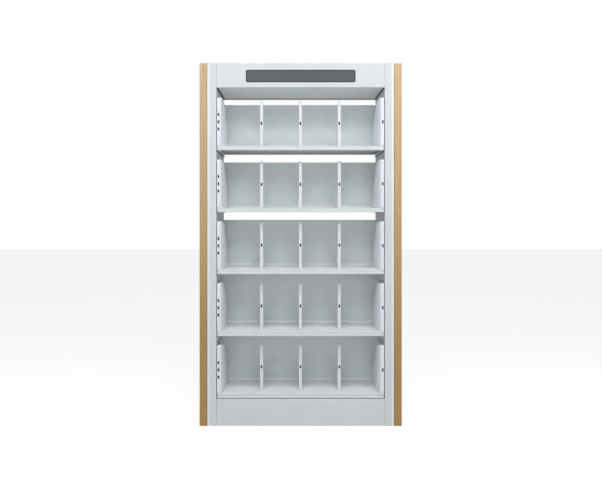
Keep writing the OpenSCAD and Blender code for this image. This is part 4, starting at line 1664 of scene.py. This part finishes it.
@dataclass
class SideAntenna:
    """The moulded cover at one end of a shelf, with a flat front and a bowed nose.

    Attributes:
        side: Which end of the bay.
        tier: Number of the tier, from the top.
        wall: Thickness of the shell.
        front_r: Radius of the top front corner.
        corner_r: Radius of the other corners.
        top_d: Depth of the top before the rear edge slants down.
        top_fall: How much the top falls towards the back.
        heel_h: Height at which the slanted rear edge ends.
        flat_w: Width of the flat front.
        edge: Radius of the inner edges.
        stations: Number of cuts that bend the nose.
    """

    side: Side
    tier: int
    wall: float = 2 * MM
    front_r: float = 12 * MM
    corner_r: float = 5 * MM
    top_d: float = 82 * MM
    top_fall: float = 10 * MM
    heel_h: float = 75 * MM
    flat_w: float = 14 * MM
    edge: float = 3.5 * MM
    stations: int = 14

    def outline(self, low: Vector, high: Vector) -> list[Point]:
        """Returns the side outline.

        Args:
            low: The lowest corner of the node's box.
            high: The highest corner of the node's box.

        Returns:
            The outline's points.
        """
        r = self.corner_r
        return Workshop.ring(
            [
                (low.y + r, low.z + r, r),
                (high.y - r, low.z + r, r),
                (high.y - r, low.z + self.heel_h, r),
                (low.y + self.top_d - r, high.z - self.top_fall - r, r),
                (low.y + self.front_r, high.z - self.front_r, self.front_r),
            ]
        )

    def thickness(self, depth: float, full: float) -> float:
        """Returns the cover's thickness at a depth behind its front.

        Args:
            depth: Distance behind the front.
            full: The cover's full thickness.

        Returns:
            The thickness.
        """
        if depth >= self.top_d:
            return full
        run = 1 - max(0.0, depth) / self.top_d
        return self.flat_w + (full - self.flat_w) * math.sqrt(max(0.0, 1 - run * run))

    def build(self) -> None:
        """Builds the cover as one piece."""
        node = f"side_antenna_{self.side.word}_{self.tier}"
        low, high = mirrored(self.side, *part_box(node))
        full = high.x - low.x
        bm = bmesh.new()
        outline = [(high.x, y, z) for y, z in self.outline(low, high)]
        outer, inner = Workshop.prism(bm, outline, (-full, 0, 0))
        Workshop.round_edges(bm, inner.edges, self.edge, 4)
        bmesh.ops.delete(bm, geom=[outer], context="FACES_ONLY")
        for n in range(1, self.stations + 1):
            depth = self.top_d * (1 - math.cos(math.pi / 2 * n / self.stations))
            geom = [*bm.verts, *bm.edges, *bm.faces]
            bmesh.ops.bisect_plane(
                bm, geom=geom, plane_co=(0, low.y + depth, 0), plane_no=(0, 1, 0), dist=1e-6
            )
        for vert in bm.verts:
            share = self.thickness(vert.co.y - low.y, full) / full
            vert.co.x = high.x - (high.x - vert.co.x) * share
        Workshop.hollow(bm, self.wall, -1)
        put_on_side(bm, self.side)
        Workshop.publish(bm, node + "_cover", [PALETTE.antenna_shell], "white_plastic", nodes=[node])


@dataclass
class SensorWindows:
    """The small dark windows on the fronts of the dividers and side antennas.

    Attributes:
        size: Width and height of a window.
        radius: Radius of its corners.
        depth: How deep its back lies behind the front.
        proud: How far its rim stands out.
        rim: Width of its rim.
        crown: How far its middle stands out beyond its rim.
        left_rows: Heights of the left covers' windows above the shelf.
        middle_row: Height of all other windows above the shelf.
        side_flat: Distance of a side window's middle from the cover's outer face.
    """

    size: tuple[float, float] = (9 * MM, 16 * MM)
    radius: float = 1.2 * MM
    depth: float = 0.9 * MM
    proud: float = 0.15 * MM
    rim: float = 0.7 * MM
    crown: float = 0.25 * MM
    left_rows: tuple[float, ...] = (91 * MM, 130 * MM, 169 * MM)
    middle_row: float = 130 * MM
    side_flat: float = 7 * MM

    def build(self) -> None:
        """Builds all the windows as one piece."""
        bm = bmesh.new()
        for tier in TIERS:
            for number in DIVIDERS:
                low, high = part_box(f"divider_{tier}_{number}")
                self.add(bm, (low.x + high.x) / 2, low.y, low.z + self.middle_row)
            for side in Side:
                low, high = mirrored(side, *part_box(f"side_antenna_{side.word}_{tier}"))
                for row in self.left_rows if side is Side.LEFT else (self.middle_row,):
                    self.add(bm, side.value * (high.x - self.side_flat), low.y, low.z + row)
        Workshop.publish(
            bm, "sensor_lenses", [PALETTE.lens], "dark_lens", nodes=["sensor_windows"], recalc=True
        )

    def add(self, bm: BMesh, x: float, y: float, z: float) -> None:
        """Adds one window on a front at depth y.

        Args:
            bm: The mesh to work on.
            x: The window's middle along X.
            y: Depth of the front.
            z: The window's height.
        """
        points = Workshop.rounded_rectangle(*self.size, self.radius, (x, z))
        seat = y + self.depth
        _, front = Workshop.prism(
            bm, [(px, seat, pz) for px, pz in points], (0, -self.depth - self.proud, 0)
        )
        bmesh.ops.inset_region(bm, faces=[front], thickness=self.rim, depth=0.0)
        Workshop.shift(bm, front.verts, (0, -self.crown, 0))


@dataclass
class Header:
    """The header: flap with its display, floor pan, lid, hinge pins and rear rail.

    Attributes:
        sheet: Thickness of the steel.
        fold: Depth of the flap's lower fold.
        display: Width and height of the display opening.
        display_r: Radius of the opening's corners.
        display_z: Height of its centre above the header's lower edge.
        gap: Gap around the display window.
    """

    sheet: float = 1.5 * MM
    fold: float = 12 * MM
    display: tuple[float, float] = (592 * MM, 68 * MM)
    display_r: float = 10 * MM
    display_z: float = 61 * MM
    gap: float = 0.4 * MM
    body: str = "header_door"

    def build(self) -> None:
        """Builds every piece of the header."""
        low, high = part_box("header_flap")
        centre = (0.0, low.z + self.display_z)
        self.build_flap(low, high, centre)
        self.build_window(low, centre)
        self.build_board()
        Workshop.dress_node("top_cover", PALETTE.white_coat)
        Workshop.dress_node("header_pan", PALETTE.white_coat)
        Workshop.dress_node("hinge_pins", PALETTE.zinc)
        for node in ("top_cover", "header_pan"):
            weld_and_soften(node, 0.4 * MM)
        self.build_rail()

    @staticmethod
    def build_rail() -> None:
        """Builds the rail along the rear of the header's floor, in the darker coat that is painted shade.
        """
        low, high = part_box("header_pan")
        bm = bmesh.new()
        Workshop.box(
            bm, (low.x + 12 * MM, high.y - 44 * MM, low.z - 1.3 * MM),
            (high.x - 12 * MM, high.y - 1 * MM, low.z - 0.05 * MM), 0.4 * MM,
        )
        Workshop.publish(bm, "header_rail", [PALETTE.shaded_under_coat], "grey_steel")

    def build_flap(self, low: Vector, high: Vector, centre: Point) -> None:
        """Builds the flap's folded front with its opening and end webs.

        Args:
            low: The lowest corner of the node's box.
            high: The highest corner of the node's box.
            centre: Middle of the display, as (X, Z).
        """
        bm = bmesh.new()
        opening = Workshop.rounded_rectangle(*self.display, self.display_r, centre)
        line = [(low.y + self.fold, low.z), (low.y, low.z), (low.y, high.z), (high.y, high.z)]
        Workshop.folded_sheet(
            bm, line, low.x, high.x, self.sheet, 1.8 * MM, opening=opening
        )
        web = [
            (low.y + 1.2 * MM, low.z + 1.2 * MM),
            (low.y + self.fold, low.z + 1.2 * MM),
            (low.y + self.fold, high.z - 45 * MM),
            (high.y, high.z - 20 * MM),
            (high.y, high.z - 1.2 * MM),
            (low.y + 1.2 * MM, high.z - 1.2 * MM),
        ]
        for x in (low.x, high.x - self.sheet):
            Workshop.prism(bm, [(x, y, z) for y, z in web], (self.sheet, 0, 0))
        Workshop.publish(
            bm, "header_flap_front", [PALETTE.white_coat], "white_steel", self.body, ["header_flap"],
            soften=0.25 * MM, recalc=True,
        )

    def build_window(self, low: Vector, centre: Point) -> None:
        """Builds the smoked window with its printed edge and rear flange.

        Args:
            low: The lowest corner of the node's box.
            centre: Middle of the display, as (X, Z).
        """
        bm = bmesh.new()
        width, height = (s - 2 * self.gap for s in self.display)
        front = low.y + 0.6 * MM
        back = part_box("display_window")[1].y
        points = Workshop.rounded_rectangle(width, height, self.display_r - self.gap, centre)
        rear = back - 1 * MM
        _, face = Workshop.prism(bm, [(x, rear, z) for x, z in points], (0, front - rear, 0), 1)
        Workshop.round_edges(bm, face.edges, 0.5 * MM)
        front_face = min(bm.faces, key=lambda f: f.calc_center_median().y - f.calc_area())
        bmesh.ops.inset_region(bm, faces=[front_face], thickness=4.5 * MM, depth=0.0)
        front_face.material_index = 0
        flange = Workshop.rounded_rectangle(width + 10 * MM, height + 10 * MM, self.display_r, centre)
        Workshop.prism(bm, [(x, low.y + self.sheet, z) for x, z in flange], (0, 2.4 * MM, 0), 1)
        Workshop.publish(
            bm, "display_pane", [PALETTE.window, PALETTE.window_edge], "smoked_window", self.body,
            ["display_window"], recalc=True,
        )

    def build_board(self) -> None:
        """Builds the display board: light modules in front, parts and plugs behind."""
        low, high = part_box("display_board")
        bm = bmesh.new()
        modules = 9
        width = self.display[0] / modules
        left = -self.display[0] / 2
        back = high.y
        for n in range(modules):
            x = left + n * width
            Workshop.box(
                bm, (x + 0.5 * MM, low.y + 5 * MM, low.z + 2 * MM),
                (x + width - 0.5 * MM, back - 1 * MM, high.z - 2 * MM), 0.5 * MM,
            )
            Workshop.box(
                bm, (x + 12 * MM, back, low.z + 20 * MM), (x + 34 * MM, back + 1.4 * MM, low.z + 32 * MM),
                0.3 * MM,
            )
        Workshop.box(bm, (left, back - 1.6 * MM, low.z), (-left, back, high.z), 0.3 * MM, 1)
        middle = (low.z + high.z) / 2
        for sign in (-1, 1):
            x = sign * (self.display[0] / 2 + 12 * MM)
            post = Vector((x, (low.y + back) / 2, middle))
            Workshop.block(bm, post, (6 * MM, (back - low.y) / 2, 10 * MM), 1 * MM)
            Workshop.hexagon(bm, (x, back, middle), 4 * MM, 2.5 * MM, (0, 1, 0), 2)
            tongue = Vector((x - sign * 10 * MM, back - 0.8 * MM, middle))
            Workshop.block(bm, tongue, mm(10, 0.8, 9), 0.3 * MM, 1)
        finishes = [PALETTE.black_plastic, PALETTE.board, PALETTE.zinc]
        Workshop.publish(
            bm, "display_matrix", finishes, "dark_electronics", self.body, ["display_board"]
        )


def weld_and_soften(node: str, width: float) -> None:
    """Rounds the edges of one of the frame's own nodes with live modifiers.

    Args:
        node: Name of the node.
        width: Width of the round.
    """
    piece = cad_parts[node]
    weld = piece.modifiers.new("weld", "WELD")
    weld.merge_threshold = 0.01 * MM
    Workshop.soften(piece, width)


@dataclass
class Plinth:
    """The plinth: hinged front, pan and the electrics inside.

    Attributes:
        sheet: Thickness of the steel.
        fold: Depth of the lower fold.
        top_r: Radius of the front's top edge.
    """

    sheet: float = 1.5 * MM
    fold: float = 12 * MM
    top_r: float = 8 * MM

    def build(self) -> None:
        """Builds every piece of the plinth."""
        self.build_flap()
        self.build_supply()
        self.build_reader()
        self.build_inlet()
        Workshop.dress_node("base_pan", PALETTE.white_coat)
        weld_and_soften("base_pan", 0.4 * MM)
        Workshop.dress_node("wire_loom", PALETTE.black_plastic)

    def build_flap(self) -> None:
        """Builds the hinged front with its round top edge and end webs."""
        low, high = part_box("plinth_flap")
        bm = bmesh.new()
        line = [(low.y + self.fold, low.z), (low.y, low.z), (low.y, high.z), (high.y, high.z)]
        Workshop.folded_sheet(bm, line, low.x, high.x, self.sheet, 1.8 * MM, {2: self.top_r})
        axis = (low.y + self.top_r, high.z - self.top_r)
        inset = 0.8 * MM
        web = [
            (low.y + inset, low.z + inset),
            (low.y + self.fold, low.z + inset),
            (high.y, axis[1] - 20 * MM),
            (high.y, high.z - inset),
            *Workshop.arc(axis, self.top_r - inset, 90, 180),
        ]
        for x in (low.x, high.x - self.sheet):
            Workshop.prism(bm, [(x, y, z) for y, z in web], (self.sheet, 0, 0))
        Workshop.publish(
            bm, "plinth_front", [PALETTE.plinth_coat], "white_steel", "plinth_door", ["plinth_flap"],
            recalc=True,
        )

    def build_supply(self) -> None:
        """Builds the power supply with its terminal row and vent ribs."""
        low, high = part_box("power_supply")
        bm = bmesh.new()
        Workshop.box(bm, low, high, 1 * MM)
        for n in range(14):
            x = low.x + (20 + n * 9) * MM
            start, end = (x, low.y + 14 * MM, high.z), (x + 4 * MM, high.y - 14 * MM, high.z + 0.6 * MM)
            Workshop.box(bm, start, end, 0.25 * MM)
        Workshop.box(bm, low + mm(18, -1, 8), low + mm(132, 3, 32), 0.5 * MM, 1)
        screw = [(0, 0), (3.2 * MM, 0), (3.2 * MM, 1.2 * MM), (0, 1.5 * MM)]
        for n in range(9):
            Workshop.lathe(bm, screw, low + mm(27 + n * 12, -1, 20), (0, -1, 0), 16, 2)
        Workshop.publish(
            bm, "power_supply_case", [PALETTE.zinc, PALETTE.black_plastic, PALETTE.brass], "zinc_steel",
            nodes=["power_supply"],
        )

    def build_reader(self) -> None:
        """Builds the reader with its cooling ribs and antenna sockets."""
        low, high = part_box("rfid_reader")
        front = low.y + 12 * MM
        bm = bmesh.new()
        Workshop.box(bm, (low.x, front, low.z), (high.x, high.y, high.z - 6 * MM), 1 * MM)
        for n in range(17):
            x = low.x + (8 + n * 10) * MM
            start, end = (x, front + 6 * MM, high.z - 7 * MM), (x + 3 * MM, high.y - 6 * MM, high.z)
            Workshop.box(bm, start, end, 0.6 * MM)
        rim, bore, length = 4 * MM, 2.6 * MM, 11 * MM
        socket = [(0, 0), (rim, 0), (rim, length), (bore, 11.6 * MM), (bore, 8 * MM), (0, 8 * MM)]
        for n in range(4):
            centre = low + mm(30 + n * 40, 12, 16)
            Workshop.hexagon(bm, centre, 5.6 * MM, 3 * MM, (0, -1, 0), 1)
            Workshop.lathe(bm, socket, centre, (0, -1, 0), 24, 1)
            Workshop.box(bm, centre + mm(13, -0.6, -1.5), centre + mm(16, 0.4, 1.5), 0.3 * MM, 2)
        finishes = [PALETTE.black_plastic, PALETTE.brass, PALETTE.signal_green]
        Workshop.publish(bm, "reader_case", finishes, "dark_electronics", nodes=["rfid_reader"])

    def build_inlet(self) -> None:
        """Builds the power inlet: a hollow body with three blades and a flange."""
        low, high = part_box("power_inlet")
        middle = (low + high) / 2
        bm = bmesh.new()
        Workshop.block(bm, middle, (13.7 * MM, (high.y - low.y) / 2, 10 * MM))
        mouth = max(bm.faces, key=lambda f: f.calc_center_median().y)
        bmesh.ops.inset_region(bm, faces=[mouth], thickness=2 * MM, depth=0.0)
        sunk = bmesh.ops.extrude_face_region(bm, geom=[mouth])["geom"]
        bmesh.ops.delete(bm, geom=[mouth], context="FACES_ONLY")
        Workshop.shift(bm, sunk, (0, -17 * MM, 0))
        Workshop.box(
            bm, (low.x, high.y - 4.5 * MM, low.z), (high.x, high.y - 1.6 * MM, high.z), 0.8 * MM
        )
        for n in (-1, 0, 1):
            blade = Vector((middle.x, high.y, middle.z)) + mm(n * 7, -11, 3 if n == 0 else -3)
            Workshop.block(bm, blade, mm(1, 7, 2), 0.4 * MM, 1)
        finishes = [PALETTE.black_plastic, PALETTE.zinc]
        Workshop.publish(
            bm, "inlet_body", finishes, "dark_electronics", nodes=["power_inlet"], recalc=True
        )


@dataclass
class Foot:
    """A levelling foot: rounded pad, hexagon and threaded stud.

    Attributes:
        number: Number of the foot.
        pad_h: Height of the pad.
        stud_r: Radius of the stud.
        thread: Distance from one thread to the next.
    """

    number: int
    pad_h: float = 8 * MM
    stud_r: float = 5 * MM
    thread: float = 1.5 * MM

    def build(self) -> None:
        """Builds the foot as one piece."""
        node = f"foot_{self.number}"
        low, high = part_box(node)
        centre = Vector(((low.x + high.x) / 2, (low.y + high.y) / 2, low.z))
        radius = (high.x - low.x) / 2
        bm = bmesh.new()
        pad = [
            (0, 0),
            (radius - 2 * MM, 0),
            *Workshop.arc((radius - 1.5 * MM, 1.5 * MM), 1.5 * MM, -90, 0, 3),
            (radius, self.pad_h - 2.5 * MM),
            *Workshop.arc((radius - 2 * MM, self.pad_h - 2 * MM), 2 * MM, 0, 90, 3),
            (0, self.pad_h),
        ]
        Workshop.lathe(bm, pad, centre, steps=40)
        Workshop.hexagon(bm, centre + Vector((0, 0, self.pad_h - 1 * MM)), 9 * MM, 7 * MM, finish=1)
        top = high.z - low.z
        stud: list[Point] = [(0, self.pad_h)]
        z = self.pad_h + 5 * MM
        while z < top - 2 * MM:
            root = (self.stud_r - 0.8 * MM, z + self.thread * 0.6)
            stud += [(self.stud_r, z), (self.stud_r, z + self.thread * 0.2), root]
            z += self.thread
        stud += [(self.stud_r - 1 * MM, top), (0, top)]
        Workshop.lathe(bm, stud, centre, steps=20, finish=1)
        finishes = [PALETTE.rubber, PALETTE.zinc]
        body = f"levelling_foot_{self.number}"
        Workshop.publish(bm, node + "_pad", finishes, "black_rubber", body, [node], recalc=True)


# ---------------------------------------------------------------------------------------------
# Studio


@dataclass
class Studio:
    """Plain pale floor, soft lights and the camera.

    Attributes:
        distance: From the camera to the front plane of the object.
        eye: Height of the camera.
        lens: Focal length on a 36 mm sensor, in millimetres.
        shift_y: Vertical lens shift.
        shift_x: Horizontal lens shift.
        aside: How far the camera stands to the side of the middle.
        ambient: Strength of the surround as a light; it shows as white behind the object.
        floor_glow: Strength of the floor's own light on the object.
        floor_white: The same as the camera sees it.
    """

    distance: float = 3.040
    eye: float = 1.163
    lens: float = 33.73
    shift_y: float = -0.0648
    shift_x: float = 0.0160
    aside: float = -0.050
    ambient: float = 0.30
    floor_glow: float = 0.3
    floor_white: float = 0.75

    def build(self) -> None:
        """Builds the camera, the lights and the floor."""
        low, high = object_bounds()
        self.add_camera(Vector(low))
        self.add_world()
        self.add_floor()
        self.add_lights(Vector(low), Vector(high))
        view = bpy.context.scene.view_settings
        view.view_transform = "Standard"
        view.look = "None"

    def add_camera(self, low: Vector) -> None:
        """Stands the camera level in front of the object.

        Args:
            low: The object's lowest corner.
        """
        data = bpy.data.cameras.new("camera")
        data.sensor_width = 36.0
        data.lens = self.lens
        data.shift_x = self.shift_x
        data.shift_y = self.shift_y
        camera = bpy.data.objects.new("camera", data)
        camera.location = (self.aside, low.y - self.distance, self.eye)
        camera.rotation_euler = (math.pi / 2, 0, 0)
        bpy.context.scene.collection.objects.link(camera)
        bpy.context.scene.camera = camera

    def add_world(self) -> None:
        """Sets an even surround that is white to the camera and softer as a light."""
        world = bpy.data.worlds.new("surround")
        world.use_nodes = True
        background = world.node_tree.nodes["Background"]
        background.inputs["Color"].default_value = (1.0, 1.0, 1.0, 1.0)
        self.glow(world.node_tree, background.inputs["Strength"], self.ambient, 1.0)
        bpy.context.scene.world = world

    @staticmethod
    def glow(tree: bpy.types.NodeTree, socket: Socket, as_light: float, to_camera: float) -> None:
        """Sets a strength that differs between what the camera sees and what lights the object.

        Args:
            tree: The node tree.
            socket: The strength's socket.
            as_light: Strength as a light.
            to_camera: Strength as the camera sees it.
        """
        bench = NodeBench(tree)
        seen = bench.add("LightPath").outputs["Is Camera Ray"]
        bench.feed(socket, bench.remap(seen, 0.0, 1.0, as_light, to_camera))

    def add_floor(self) -> None:
        """Lays a pale floor."""
        bm = bmesh.new()
        bmesh.ops.create_grid(bm, x_segments=1, y_segments=1, size=14.0)
        mesh = bpy.data.meshes.new("floor")
        bm.to_mesh(mesh)
        bm.free()
        material = bpy.data.materials.new("pale_floor")
        material.use_nodes = True
        shader = material.node_tree.nodes["Principled BSDF"]
        shader.inputs["Base Color"].default_value = (0.5, 0.5, 0.5, 1.0)
        shader.inputs["Roughness"].default_value = 0.8
        shader.inputs["Specular IOR Level"].default_value = 0.1
        shader.inputs["Emission Color"].default_value = (1.0, 1.0, 1.0, 1.0)
        strength = shader.inputs["Emission Strength"]
        self.glow(material.node_tree, strength, self.floor_glow, self.floor_white)
        mesh.materials.append(material)
        floor = bpy.data.objects.new("floor", mesh)
        bpy.context.scene.collection.objects.link(floor)
        floor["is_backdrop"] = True

    def add_lights(self, low: Vector, high: Vector) -> None:
        """Hangs two soft ceiling lights in front and one broad light further away.

        Args:
            low: The object's lowest corner.
            high: The highest corner of the node's box; not used.
        """
        for x, power in ((-1.1, 5.0), (1.1, 7.5)):
            self.add_area((x, low.y - 0.97, 2.6), Vector((x * 0.8, low.y - 0.6, 0.0)), 0.3, 0.15, power)
        self.add_area((0.0, low.y - 3.5, 1.35), Vector((0, 0, 1.1)), 3.5, 1.3, 14.0)
        self.add_area((0.0, low.y - 2.0, 3.2), Vector((0, low.y - 2.001, 0)), 3.0, 2.2, 55.0)

    @staticmethod
    def add_area(place: Corner, target: Vector, width: float, depth: float, power: float) -> None:
        """Adds one rectangular light that looks at a target.

        Args:
            place: Where it hangs.
            target: The point that it looks at.
            width: Its width.
            depth: Its depth.
            power: Its power in watts.
        """
        data = bpy.data.lights.new("soft_light", "AREA")
        data.shape = "RECTANGLE"
        data.size, data.size_y = width, depth
        data.energy = power
        light = bpy.data.objects.new("soft_light", data)
        light.location = place
        light.rotation_euler = (target - Vector(place)).to_track_quat("-Z", "Y").to_euler()
        bpy.context.scene.collection.objects.link(light)


# ---------------------------------------------------------------------------------------------
# The object


def main() -> None:
    """Builds the sub-assemblies in order and finishes the scene."""
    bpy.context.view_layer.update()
    Studio().build()
    for side in Side:
        EndPanel(side).build()
        Upright(side).build()
        Cheeks(side).build()
    for tier in TIERS:
        Shelf(tier).build()
        BackPanel(tier).build()
        for side in Side:
            SideAntenna(side, tier).build()
        for number in DIVIDERS:
            Divider(tier, number).build()
    SensorWindows().build()
    Header().build()
    Plinth().build()
    for number in range(1, 5):
        Foot(number).build()
    Workshop.dress_node("antenna_boards", PALETTE.board)
    Workshop.dress_node("panel_bolts", PALETTE.zinc)


if __name__ == "__main__":
    main()
